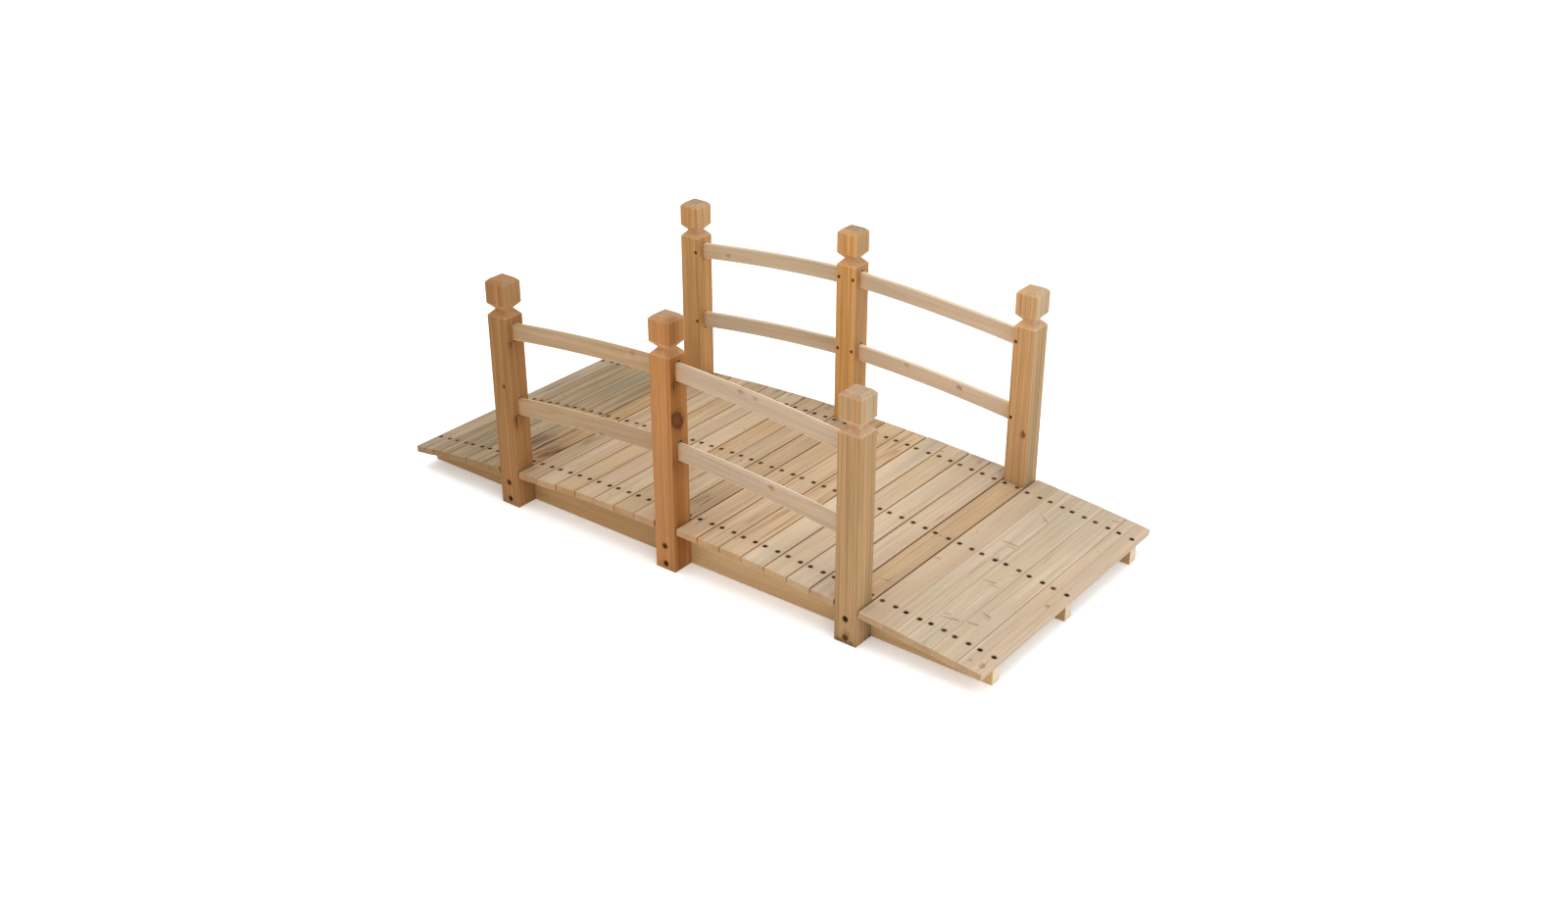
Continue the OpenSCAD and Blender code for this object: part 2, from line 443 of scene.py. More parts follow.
@dataclass
class Board:
    """One board in its own axes: two section axes and the place along it, with values at each point."""

    section: Section
    run: Run
    across: Array = field(init=False)
    along: Array = field(init=False)
    face: Array = field(init=False)
    traits: dict[str, Array] = field(init=False)

    def __post_init__(self) -> None:
        """Carries the section along the run: shares * (flat half - inset) + ease * normal."""
        shares, normals, self.face = self.section.template()
        flat = self.section.flat_half - self.run.inset[:, None, None]
        self.across = shares * flat + self.section.ease * normals
        self.along = np.repeat(self.run.along[:, None], len(self.face), axis=1)
        end = np.repeat(self.run.end[:, None], len(self.face), axis=1)
        corner = (self.face < 0) * (1.0 - end)
        self.traits = {
            "wear": np.maximum(self.run.wear[:, None], corner),
            "end_grain": end,
            # Painted shade on the faces in the gaps between planks
            "sawn": np.zeros_like(self.along),
            # Painted shade in holes and pockets, and real marks round screws
            "stain": np.zeros_like(self.along),
            # Water marks, and painted shadows of posts and rails and in pockets
            "damp": np.zeros_like(self.along),
        }

    def press(self, bore: Bore) -> None:
        """Sinks a round hole into a face.

        Formula: inside the patch, square rings of the grid are drawn onto circles of the same
        radius, and a point's depth depends on its ring alone.

        Args:
            bore: The hole.
        """
        columns = np.flatnonzero(self.face == bore.face.value)
        axis = bore.face.axis
        outward = bore.face.normal[1 - axis]
        wide = self.across[:, columns, axis] - bore.across
        long = self.along[:, columns] - bore.along
        ring = np.maximum(np.abs(wide), np.abs(long)) / bore.reach
        hold = 1.0 - smooth_step(HOLE_EDGE, 1.0, ring)
        rounding = ring * bore.reach / np.maximum(np.hypot(wide, long), TINY)
        scale = hold * (rounding - 1.0)
        self.across[:, columns, axis] += wide * scale + hold * bore.shift[0]
        self.along[:, columns] += long * scale + hold * bore.shift[1]
        sink = np.interp(ring, [HOLE_FLOOR, HOLE_RIM, HOLE_EDGE], HOLE_SINK)
        self.across[:, columns, 1 - axis] -= outward * bore.depth * sink
        # Painted shade on the hole's floor and wall, and a real mark on the crushed fibres round it
        stain = np.interp(ring, [HOLE_FLOOR, HOLE_RIM, HOLE_EDGE, 1.0], HOLE_STAIN_AND_SHADE)
        self.traits["stain"][:, columns] = np.maximum(self.traits["stain"][:, columns], stain)

    def cut(self, pocket: Pocket) -> None:
        """Pushes the points inside a pocket's outline straight in to its depth.

        Formula: a point lies past the outline by the larger of |width| - half width and
        |length - place| - half height. Painted shade is full inside the pocket and fades over its lip.

        Args:
            pocket: The mortise.
        """
        columns = np.flatnonzero(self.face == pocket.face.value)
        axis = pocket.face.axis
        outward = pocket.face.normal[1 - axis]
        wide = np.abs(self.across[:, columns, axis]) - pocket.half_width
        tall = np.abs(self.along[:, columns] - pocket.along) - pocket.half_height
        past = np.maximum(wide, tall)
        inside = (past < POCKET_WALL / 2).astype(float)
        self.across[:, columns, 1 - axis] -= outward * pocket.depth * inside
        # Painted shade: the pocket's inside and its lip, where the gap lies in shade, and the inside once
        # more with the painted shadows
        stain = np.maximum(inside, LIP_SHADE * (1.0 - smooth_step(0.0, POCKET_LIP, past)))
        self.traits["stain"][:, columns] = np.maximum(self.traits["stain"][:, columns], stain)
        self.traits["damp"][:, columns] = np.maximum(self.traits["damp"][:, columns], inside)

    def lay_grain(self, pith: Pair, start: float) -> None:
        """Gives each point its place in the log: off the pith in the section, and along the trunk."""
        offset = self.across - np.array(pith)
        self.traits["grain"] = np.concatenate([offset, self.along[..., None] + start], axis=2)

    def mark_knots(self, knots: list[Knot]) -> None:
        """Gives each point its distances from the board's knots, as many as there are traits for.

        Args:
            knots: The knots. One that ends at a face is not dark on the others.
        """
        for trait in KNOT_TRAITS:
            self.traits[trait] = np.full(self.along.shape + (3,), NO_KNOT)
        for trait, knot in zip(KNOT_TRAITS, knots):
            self.traits[trait] = knot.measure(self.across, self.along)
            if knot.face is not None:
                self.traits[trait][..., 2] *= self.face == knot.face.value

    def dye(self, tone: Tone, light: float = 1.0, ends: Tone | None = None) -> None:
        """Gives the whole board one cast.

        Args:
            tone: The cast.
            light: How much lighter the board's faces are than its like.
            ends: A tone for the tint of cut ends, where they differ from the faces.
        """
        cast = tone.value
        cut = cast if ends is None else ends.value
        share = self.traits["end_grain"][..., None] ** 2
        self.traits["tone"] = light * np.array(cast.tint) * (1.0 - share) + np.array(cut.tint) * share
        values = [cast.figure, cast.age, cast.heart]
        self.traits["cast"] = np.broadcast_to(values, self.along.shape + (3,))

    def bleach(
        self,
        low: float,
        high: float,
        tint: Colour,
        faces: tuple[Face, ...] = tuple(Face),
        fade: float = FADE,
    ) -> None:
        """Tints a stretch of the board, apart from its cut ends: mostly painted light and shade, and the
        finials' own tint.

        Args:
            low: Where the stretch starts along the board.
            high: Where it stops.
            tint: The tint.
            faces: The long faces that take it.
            fade: Half the length over which the tint comes and goes.
        """
        columns = np.isin(self.face, [face.value for face in faces])
        weight = np.where(columns, 1.0, (self.face < 0) * len(faces) / len(Face))
        stretch = smooth_step(low - fade, low + fade, self.along)
        stretch = stretch - smooth_step(high - fade, high + fade, self.along)
        share = (stretch * weight * (1.0 - self.traits["end_grain"] ** 3))[..., None]
        self.traits["tone"] = self.traits["tone"] * (1.0 + (np.array(tint) - 1.0) * share)

    def saw(self, faces: tuple[Face, ...], edge: float) -> None:
        """Paints a brown shade on long faces that lie in the gaps between planks.

        Args:
            faces: The faces in the gaps.
            edge: Share of the painted shade that the rounded edges take.
        """
        columns = np.isin(self.face, [face.value for face in faces])
        # Painted shade, brown like the shade deep in a gap
        brown = np.where(columns, 1.0, edge * (self.face < 0))
        self.traits["sawn"] = brown * (1.0 - self.traits["end_grain"])

    def rub(self, share: float, faces: tuple[Face, ...] = ()) -> None:
        """Keeps a share of the wear on the edges, and wears whole faces pale."""
        columns = np.isin(self.face, [face.value for face in faces])
        self.traits["wear"] = np.where(columns, 1.0, self.traits["wear"] * share)

    def soak(self, blot: Blot) -> None:
        """Darkens a stretch: its strength * (1 - a smooth step of the distance from its middle)."""
        patch = blot.strength * (1.0 - smooth_step(0.0, blot.reach, np.abs(self.along - blot.middle)))
        self.traits["damp"] = np.maximum(self.traits["damp"], patch)

    def drip(self, face: Face, top: float, reach: float) -> None:
        """Paints a rail's shadow on one long face, from a place downwards.

        Formula: the painted shadow fades as a smooth step of the distance below the place, and across the
        face as half less half the share of its width, times the shadows' strength and one at most.

        Args:
            face: The face.
            top: Where the shadow starts.
            reach: Length of the shadow.
        """
        half = self.section.half_width
        below = (self.along <= top) * (1.0 - smooth_step(0.0, reach, top - self.along))
        aside = (self.face == face.value) * (0.5 - 0.5 * self.across[..., face.axis] / half)
        # The painted shadow
        run = below * np.clip(RAIL_SHADOW_STRENGTH * aside, 0.0, 1.0)
        self.traits["damp"] = np.maximum(self.traits["damp"], run)

    def seat(self, bore: Bore, place: Placing) -> Seat:
        """Finds where the head of the screw in a hole sits, once the board is in place.

        Args:
            bore: The hole.
            place: The board's placing.

        Returns:
            The seat on the hole's floor.
        """
        axis = bore.face.axis
        half = (self.section.half_width, self.section.half_height)[1 - axis]
        spot = np.zeros((2, 2))
        spot[:, axis] = bore.across + bore.shift[0]
        spot[:, 1 - axis] = bore.face.normal[1 - axis] * np.array([half - bore.depth, half])
        low, high = place(spot, np.full(2, bore.along + bore.shift[1]))
        normal = (high - low) / np.linalg.norm(high - low)
        return Seat(low, normal, HOLE_FLOOR * bore.reach)

    def make(self, name: str, place: Placing, material: bpy.types.Material, slot: str) -> None:
        """Puts the board into the scene in place of its node.

        Args:
            name: The node's name, and the piece's with a word added.
            place: Turns section and station values into points of the bridge.
            material: The finish.
            slot: Not used.
        """
        piece = add_skin(f"{name}_board", place(self.across, self.along), self.traits, material)
        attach(piece, BODY)
        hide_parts(name)


def skin_faces(points: Array) -> list[list[int]]:
    """Faces of a closed tube of points with a flat cap on each end, all pointing outwards.

    Args:
        points: Points as stations, ring and coordinates.

    Returns:
        Point numbers of the quads, then of the two caps.
    """
    stations, ring = points.shape[:2]
    index = np.arange(stations * ring).reshape(stations, ring)
    beside = np.roll(index, -1, axis=1)
    quads = np.stack([index[:-1], beside[:-1], beside[1:], index[1:]], axis=-1).reshape(-1, 4)
    caps = [index[0, ::-1], index[-1]]
    corner = (points - points.mean(axis=(0, 1))).reshape(-1, 3)[quads]
    swept = np.cross(corner[:, 2] - corner[:, 0], corner[:, 3] - corner[:, 1])
    if np.einsum("ij,ij->", corner[:, 0], swept) < 0.0:
        quads = quads[:, ::-1]
        caps = [cap[::-1] for cap in caps]
    return quads.tolist() + [cap.tolist() for cap in caps]


def add_mesh(
    name: str, points: Array, faces: list[list[int]], material: bpy.types.Material
) -> bpy.types.Object:
    """Makes an object from points and faces, smooth apart from its sharp edges.

    Args:
        name: The piece's name.
        points: Points, in any array whose last axis is the coordinates.
        faces: Point numbers of each face.
        material: The finish.

    Returns:
        The new object, at the origin.
    """
    mesh = bpy.data.meshes.new(name)
    mesh.from_pydata(points.reshape(-1, 3).tolist(), [], faces)
    mesh.polygons.foreach_set("use_smooth", np.ones(len(mesh.polygons), bool))
    mesh.set_sharp_from_angle(angle=SHARP_ANGLE)
    mesh.materials.append(material)
    piece = bpy.data.objects.new(name, mesh)
    bpy.context.scene.collection.objects.link(piece)
    log.info("%s: %d points", name, len(mesh.vertices))
    return piece


def add_skin(
    name: str, points: Array, traits: dict[str, Array], material: bpy.types.Material
) -> bpy.types.Object:
    """Makes a board's object and stores its traits on the points.

    Args:
        name: The piece's name.
        points: Points as stations, ring and coordinates.
        traits: Values at the points, single or threefold.
        material: The finish.

    Returns:
        The new object.
    """
    piece = add_mesh(name, points, skin_faces(points), material)
    for trait, values in traits.items():
        threefold = values.ndim == 3
        layer = piece.data.attributes.new(trait, "FLOAT_VECTOR" if threefold else "FLOAT", "POINT")
        layer.data.foreach_set("vector" if threefold else "value", values.astype(np.float32).ravel())
    return piece


class Value:
    """A shader value: one output socket, with the sums that the finishes use."""

    def __init__(self, craft: "Craft", socket: bpy.types.NodeSocket) -> None:
        """Wraps a socket of a finish's node tree."""
        self.craft = craft
        self.socket = socket

    def _sum(self, operation: str, first: "Value | float", second: "Value | float") -> "Value":
        """Adds one Math node."""
        return self.craft.node("ShaderNodeMath", {"operation": operation}, {0: first, 1: second})

    def __add__(self, other: "Value | float") -> "Value":
        """This value plus another."""
        return self._sum("ADD", self, other)

    def __radd__(self, other: float) -> "Value":
        """A number plus this value."""
        return self._sum("ADD", other, self)

    def __sub__(self, other: "Value | float") -> "Value":
        """This value less another."""
        return self._sum("SUBTRACT", self, other)

    def __rsub__(self, other: float) -> "Value":
        """A number less this value."""
        return self._sum("SUBTRACT", other, self)

    def __mul__(self, other: "Value | float") -> "Value":
        """This value times another."""
        return self._sum("MULTIPLY", self, other)

    def __rmul__(self, other: float) -> "Value":
        """A number times this value."""
        return self._sum("MULTIPLY", other, self)

    def __truediv__(self, other: "Value | float") -> "Value":
        """This value over another."""
        return self._sum("DIVIDE", self, other)

    def __rtruediv__(self, other: float) -> "Value":
        """A number over this value."""
        return self._sum("DIVIDE", other, self)

    def __pow__(self, other: "Value | float") -> "Value":
        """This value raised to a power."""
        return self._sum("POWER", self, other)

    def least(self, other: "Value | float") -> "Value":
        """The smaller of two values."""
        return self._sum("MINIMUM", self, other)

    def part(self) -> "Value":
        """What is left of the value past its whole number."""
        return self._sum("FRACT", self, 0.0)

    def whole(self) -> "Value":
        """The whole number at or under the value."""
        return self._sum("FLOOR", self, 0.0)

    def bell(self, width: float) -> "Value":
        """A bell curve of the value: one at zero, and falling off over the width."""
        return self._sum("POWER", math.e, self * self * (-1.0 / (width * width)))

    def rise(self, low: float, high: float) -> "Value":
        """A smooth step of the value from 0 at low to 1 at high."""
        ends = {"Value": self, "From Min": low, "From Max": high}
        return self.craft.node("ShaderNodeMapRange", {"interpolation_type": "SMOOTHSTEP"}, ends)


class Craft:
    """A finish in the making: one material and its node tree."""

    def __init__(self, name: str) -> None:
        """Starts an empty material.

        Args:
            name: The material's name.
        """
        self.material = bpy.data.materials.new(name)
        self.material.use_nodes = True
        self.tree = self.material.node_tree
        self.tree.nodes.clear()

    def node(self, kind: str, settings: dict, inputs: dict, output: int | str = 0) -> Value:
        """Adds a node.

        Args:
            kind: The node's type.
            settings: The node's own settings, which are set first.
            inputs: Values or links by socket name or number.
            output: The output socket that is wanted.

        Returns:
            The wrapped output.
        """
        made = self.tree.nodes.new(kind)
        for key, setting in settings.items():
            setattr(made, key, setting)
        for key, value in inputs.items():
            if isinstance(value, Value):
                self.tree.links.new(value.socket, made.inputs[key])
            else:
                made.inputs[key].default_value = value
        return Value(self, made.outputs[output])

    def trait(self, name: str, output: str = "Vector") -> Value:
        """Reads a value that the board carries on its points."""
        return self.node("ShaderNodeAttribute", {"attribute_name": name}, {}, output)

    def split(self, vector: Value) -> tuple[Value, Value, Value]:
        """The three parts of a vector."""
        outputs = self.node("ShaderNodeSeparateXYZ", {}, {0: vector}).socket.node.outputs
        return Value(self, outputs[0]), Value(self, outputs[1]), Value(self, outputs[2])

    def vector(self, operation: str, first: Value, second: "Value | tuple") -> Value:
        """A Vector Math node on two vectors."""
        return self.node("ShaderNodeVectorMath", {"operation": operation}, {0: first, 1: second})

    def times(self, vector: Value, factor: Value) -> Value:
        """A vector or colour times one value."""
        return self.node("ShaderNodeVectorMath", {"operation": "SCALE"}, {0: vector, "Scale": factor})

    def noise(self, place: Value, pitch: Triple, detail: float, output: int = 0) -> Value:
        """Cloudy noise whose scale differs by axis.

        Args:
            place: Where to read the noise.
            pitch: Waves for each metre along the three axes.
            detail: Number of finer layers.
            output: 0 for a value, 1 for a colour.

        Returns:
            The noise, about a half on average.
        """
        spread = self.vector("MULTIPLY", place, pitch)
        inputs = {"Vector": spread, "Scale": 1.0, "Detail": detail}
        return self.node("ShaderNodeTexNoise", {}, inputs, output)

    def mix(self, share: "Value | float", first: "Value | Colour", second: "Value | Colour") -> Value:
        """One colour turning into another."""
        ends = {0: share, 6: self.rgba(first), 7: self.rgba(second)}
        return self.node("ShaderNodeMix", {"data_type": "RGBA"}, ends, 2)

    def tinted(self, first: Value, second: "Value | Colour", share: "Value | float" = 1.0) -> Value:
        """One colour multiplied by another, as far as the share says."""
        ends = {0: share, 6: first, 7: self.rgba(second)}
        return self.node("ShaderNodeMix", {"data_type": "RGBA", "blend_type": "MULTIPLY"}, ends, 2)

    @staticmethod
    def rgba(colour: "Value | Colour") -> "Value | tuple":
        """A colour with its alpha, or the link as it is."""
        return colour if isinstance(colour, Value) else (*colour, 1.0)

    def bump(self, height: Value, strength: float, distance: float) -> Value:
        """A normal that follows a height over the surface."""
        inputs = {"Strength": strength, "Distance": distance, "Height": height}
        return self.node("ShaderNodeBump", {}, inputs)

    def close(self, inputs: dict) -> bpy.types.Material:
        """Adds the surface shader and the output.

        Args:
            inputs: Values or links by the shader's socket names.

        Returns:
            The finished material.
        """
        shader = self.node("ShaderNodeBsdfPrincipled", {}, inputs)
        output = self.tree.nodes.new("ShaderNodeOutputMaterial")
        self.tree.links.new(shader.socket, output.inputs["Surface"])
        return self.material


@dataclass(frozen=True)
class Streaking:
    """A noise, drawn out along wood: its waves for each metre, its finer layers and where it shows."""

    across: float
    along: float
    layers: float
    shows: Pair | None = None

    def draw(self, place: Value) -> Value:
        """Draws the noise over a place, or a smooth step of it where only its peaks show."""
        noise = place.craft.noise(place, (self.across, self.across, self.along), self.layers)
        return noise if self.shows is None else noise.rise(*self.shows)

    def sway(self, place: Value) -> Value:
        """Draws the noise as a vector about zero, by which lines can wander."""
        noise = place.craft.noise(place, (self.across, self.across, self.along), self.layers, 1)
        return place.craft.vector("SUBTRACT", noise, (0.5, 0.5, 0.5))


@dataclass(frozen=True)
class Spot:
    """One place on a board: its place in the log, its end grain, the board's cast and its fine lines."""

    grain: Value
    end: Value
    figure: Value
    age: Value
    heart: Value
    stripe: Value
    fibre: Value
    fleck: Value


@dataclass(frozen=True)
class KnotMarks:
    """One place among a board's knots: the nearest one, its darkness, its parts and the rings' bulge."""

    nearest: Value
    dark: Value
    bulge: Value
    core: Value
    rim: Value


@dataclass(frozen=True)
class WoodFinish:
    """Sawn softwood: growth rings round a pith, fibres, flecks, knots, worn edges and end grain."""

    name: str
    early: Colour
    late: Colour
    heart: Colour
    worn: Colour
    ring_width: float
    ring_depth: float
    heart_reach: float
    streaks: float
    weathering: float
    weathered: Colour = (0.23, 0.19, 0.145)
    knot_core: Colour = (0.16, 0.062, 0.024)
    knot_halo: Colour = (0.36, 0.17, 0.065)
    # Colour of the painted shade in holes and pockets, and of the real marks round screws
    bored: Colour = (0.085, 0.033, 0.008)
    warm_tint: Colour = (1.0, 0.95, 0.87)
    # Tint of water marks and of painted shadows
    damp_tint: Colour = (0.34, 0.29, 0.26)
    # Tint of the painted shade on the planks' faces in the gaps
    sawn_tint: Colour = (0.92, 0.64, 0.40)
    # End grain's own colour, with painted light on the ends of posts and stringers
    end_tint: Colour = (0.86, 0.80, 0.72)
    wear_share: float = 0.22
    roughness: float = 0.62
    gloss: float = 0.10
    bump_strength: float = 0.4
    bump_distance: float = 0.0005
    drift: Streaking = Streaking(7.0, 1.7, 2.0)
    drift_reach: float = 0.022
    uneven: Streaking = Streaking(70.0, 0.8, 1.0)
    ring_shift: float = 1.6
    ring_bulge: float = 1.7
    ring_power: float = 3.5
    ring_stop: Pair = (0.93, 1.0)
    ring_limit: float = 0.9
    faintest_ring: float = 0.12
    heart_start: float = 0.35
    broad: Streaking = Streaking(22.0, 2.4, 2.0)
    broad_depth: float = 0.46
    stripe: Streaking = Streaking(190.0, 2.2, 3.0)
    fibre: Streaking = Streaking(900.0, 16.0, 3.0)
    fibre_depth: float = 0.34
    fleck: Streaking = Streaking(1500.0, 55.0, 1.0, (0.66, 0.76))
    fleck_share: float = 0.22
    warmth: Streaking = Streaking(18.0, 3.5, 3.0, (0.38, 0.66))
    warm_share: float = 0.7
    grime: Streaking = Streaking(150.0, 3.4, 4.0, (0.44, 0.62))
    end_calm: float = 0.7
    stripe_calm: float = 0.65
    knot_fray: Streaking = Streaking(260.0, 140.0, 2.0)
    fray_reach: float = 0.6
    knot_wander: Streaking = Streaking(70.0, 16.0, 2.0)
    wander_reach: float = 1.8
    knot_fade: Pair = (1.2, 1.9)
    swell_width: float = 1.9
    halo_width: float = 2.1
    core_edge: Pair = (0.82, 1.02)
    rim_inside: Pair = (0.62, 0.95)
    rim_outside: Pair = (1.0, 1.3)
    knot_rings: float = 3.5
    halo_share: float = 0.5
    core_share: float = 0.95
    rim_share: float = 0.75
    rubbing: Streaking = Streaking(90.0, 12.0, 3.0, (0.1, 0.65))
    # Noise that breaks up water marks and painted shadows
    seeping: Streaking = Streaking(110.0, 11.0, 4.0)
    seep_edge: Pair = (0.72, 1.0)

    def _spot(self, craft: Craft) -> Spot:
        """Reads what a board carries at a place, and draws the fine lines there.

        Args:
            craft: The finish in the making.

        Returns:
            The place.
        """
        grain, end = craft.trait("grain"), craft.trait("end_grain", "Fac")
        lines = [line.draw(grain) for line in (self.stripe, self.fibre, self.fleck)]
        return Spot(grain, end, *craft.split(craft.trait("cast")), *lines)

    def _knots(self, grain: Value) -> KnotMarks:
        """Finds a place's nearest knot, and how far the rings bulge round all of them.

        Formula: the distance is the length of the knot vector, whose parts wander with slow noise, plus
        a little fine noise. The bulge is a bell curve of the distance. The core is what lies within one
        radius, and the rim is a ring about it, both as dark as the knot.

        Args:
            grain: Place in the log.

        Returns:
            The marks, with the distance in knot radii.
        """
        craft = grain.craft
        fray = (self.knot_fray.draw(grain) - 0.5) * self.fray_reach
        sway, lean, _ = craft.split(self.knot_wander.sway(grain))
        sway, lean = sway * self.wander_reach, lean * self.wander_reach
        reaches, shades = [], []
        for trait in KNOT_TRAITS:
            wide, long, depth = craft.split(craft.trait(trait))
            wide, long = wide + sway, long + lean
            reaches.append((wide * wide + long * long) ** 0.5 + fray)
            shades.append(depth * (0.85 + wide * 0.4) * (1.0 - reaches[-1].rise(*self.knot_fade)))
        nearest, dark = reduce(Value.least, reaches), sum(shades).least(1.0)
        bulge = sum(reach.bell(self.swell_width) for reach in reaches)
        core = (1.0 - nearest.rise(*self.core_edge)) * dark
        rim = nearest.rise(*self.rim_inside) * (1.0 - nearest.rise(*self.rim_outside)) * dark
        return KnotMarks(nearest, dark, bulge, core, rim)

    def _rings(self, spot: Spot, bulge: Value) -> tuple[Value, Value]:
        """Draws the growth rings.

        Formula: the radius from the pith, bent by slow noise, over the ring width gives years, which
        noise and knots push on. A year darkens as a power of its part and breaks off at its end. How
        dark it gets differs from year to year, and cut ends are calmer.

        Args:
            spot: The place on the board.
            bulge: How far knots push the rings.

        Returns:
            The radius in metres, and the share of late wood.
        """
        craft = bulge.craft
        reach = (self.drift_reach, self.drift_reach, 0.0)
        drift = craft.vector("MULTIPLY", self.drift.sway(spot.grain), reach)
        bent = craft.vector("ADD", spot.grain, drift)
        across, through, _ = craft.split(bent)
        radius = (across * across + through * through) ** 0.5
        shift = self.uneven.draw(bent) * self.ring_shift
        years = radius / self.ring_width + bulge * self.ring_bulge + shift
        phase = years.part()
        luck = craft.node("ShaderNodeTexWhiteNoise", {"noise_dimensions": "1D"}, {"W": years.whole()})
        strength = self.faintest_ring + (1.0 - self.faintest_ring) * luck
        late = phase ** self.ring_power * (1.0 - phase.rise(*self.ring_stop)) * strength
        return radius, late * (1.0 - spot.end * self.end_calm)

    def _bare_wood(self, spot: Spot, radius: Value, late: Value) -> Value:
        """Colours the wood without its knots.

        Formula: late wood is mixed over early wood, and the heart tints what lies near the pith. The
        colour is then multiplied by one plus the stripes, the fibres and broad bands, each a noise less
        a half. Warm patches, flecks and the grime of age come over it.

        Args:
            spot: The place on the board.
            radius: Distance from the pith.
            late: Share of late wood.

        Returns:
            The colour.
        """
        craft = late.craft
        rings = (late * spot.figure * self.ring_depth).least(self.ring_limit)
        inner = 1.0 - radius.rise(self.heart_start * self.heart_reach, self.heart_reach)
        wood = craft.tinted(craft.mix(rings, self.early, self.late), self.heart, inner * spot.heart)
        calm = 1.0 - spot.end * self.stripe_calm
        stripes = (spot.stripe - 0.5) * (1.0 + spot.age) * calm * self.streaks
        bands = (self.broad.draw(spot.grain) - 0.5) * self.broad_depth
        wood = craft.times(wood, 1.0 + stripes + (spot.fibre - 0.5) * self.fibre_depth + bands)
        wood = craft.tinted(wood, self.warm_tint, self.warmth.draw(spot.grain) * self.warm_share)
        wood = craft.mix(spot.fleck * self.fleck_share, wood, self.late)
        grime = self.grime.draw(spot.grain) * spot.age * (1.0 - spot.end * self.end_calm)
        return craft.mix(grime * self.weathering, wood, self.weathered)

    def _knotted(self, wood: Value, knots: KnotMarks) -> Value:
        """Lays the knots over the wood.

        Formula: a halo falls off as a bell curve round each knot. The core darkens outwards and has
        rings of its own, and the rim is darkest.

        Args:
            wood: The colour without knots.
            knots: The knots' marks.

        Returns:
            The colour with them.
        """
        craft = wood.craft
        halo = knots.nearest.bell(self.halo_width) * knots.dark
        rings = (knots.nearest * self.knot_rings).part() ** 2.0
        growth = knots.nearest.rise(0.2, 0.9) * 0.6 + rings * 0.3
        core = craft.mix(growth, self.knot_halo, self.knot_core)
        wood = craft.mix(halo * self.halo_share, wood, self.knot_halo)
        wood = craft.mix(knots.core * self.core_share, wood, core)
        return craft.mix(knots.rim * knots.dark * self.rim_share, wood, self.knot_core)

    def _marked(self, wood: Value, spot: Spot, wear: Value) -> Value:
        """Lays the marks over the wood: cut ends with their painted light, painted shade on the faces in
        gaps, wear, the board's tint with its painted light and shade, painted shade in holes and pockets
        with real marks round screws, and water marks with painted shadows.

        Formula: the water marks and painted shadows tint the wood a little all over, and more where noise
        and their strength together pass a threshold.

        Args:
            wood: The colour without marks.
            spot: The place on the board.
            wear: How worn the place is.

        Returns:
            The colour with them.
        """
        craft = wood.craft
        # End grain's colour, and painted light on the ends of posts and stringers
        wood = craft.tinted(wood, self.end_tint, spot.end)
        # Painted shade on the planks' faces in the gaps
        wood = craft.tinted(wood, self.sawn_tint, craft.trait("sawn", "Fac"))
        wood = craft.mix(wear * (1.0 - spot.age * 0.9) * self.wear_share, wood, self.worn)
        # The tone: each board's cast, with the painted light and shade that its tints carry
        wood = craft.tinted(wood, craft.trait("tone"))
        # Painted shade in holes and pockets, and real marks round screws
        wood = craft.mix(craft.trait("stain", "Fac"), wood, self.bored)
        # Water marks, and painted shadows of posts and rails and in pockets
        damp = craft.trait("damp", "Fac")
        seep_and_shade = (self.seeping.draw(spot.grain) + damp * 0.34).rise(*self.seep_edge)
        return craft.tinted(wood, self.damp_tint, damp * 0.28 + seep_and_shade * 0.8)

    def material(self) -> bpy.types.Material:
        """Builds the finish: bare wood, its knots, then the marks on it, over a fine relief.

        Returns:
            The material.
        """
        craft = Craft(self.name)
        spot = self._spot(craft)
        knots = self._knots(spot.grain)
        radius, late = self._rings(spot, knots.bulge)
        wear = craft.trait("wear", "Fac") * self.rubbing.draw(spot.grain)
        wood = self._knotted(self._bare_wood(spot, radius, late), knots)
        rough = (spot.fibre - 0.5) * 0.25 + wear * 0.1 + spot.end * 0.12 - knots.core * 0.12
        height = spot.fibre * 0.6 + spot.stripe * 0.25 - spot.fleck * 0.3
        height = height + late * 0.5 - knots.rim * 0.6
        return craft.close({
            "Base Color": self._marked(wood, spot, wear),
            "Roughness": self.roughness + rough,
            "Normal": craft.bump(height, self.bump_strength, self.bump_distance),
            "Specular IOR Level": self.gloss,
        })


@dataclass(frozen=True)
class ScrewFinish:
    """Browned steel screw heads, dull, and some of them rusted."""

    name: str = "browned_screw"
    brown: Colour = (0.022, 0.009, 0.003)
    rust: Colour = (0.20, 0.085, 0.022)
    rusting: Streaking = Streaking(23.0, 23.0, 1.0, (0.42, 0.66))
    spotting: Streaking = Streaking(420.0, 420.0, 3.0, (0.45, 0.7))
    rubbing: Streaking = Streaking(1600.0, 1600.0, 2.0)
    metal: float = 0.10
    roughness: float = 0.55
    gloss: float = 0.02
    bump_strength: float = 0.2
    bump_distance: float = 0.0002

    def material(self) -> bpy.types.Material:
        """Builds the finish from noises for the rusted heads, the rust's spots and the dull coating.

        Returns:
            The material.
        """
        craft = Craft(self.name)
        place = craft.node("ShaderNodeTexCoord", {}, {}, "Object")
        rust = self.rusting.draw(place) * 0.65 + self.spotting.draw(place) * 0.25
        rubbed = self.rubbing.draw(place)
        return craft.close({
            "Base Color": craft.mix(rust, self.brown, self.rust),
            "Metallic": self.metal * (1.0 - rust),
            "Roughness": self.roughness + rubbed * 0.2 + rust * 0.15,
            "Normal": craft.bump(rubbed, self.bump_strength, self.bump_distance),
            "Specular IOR Level": self.gloss,
        })


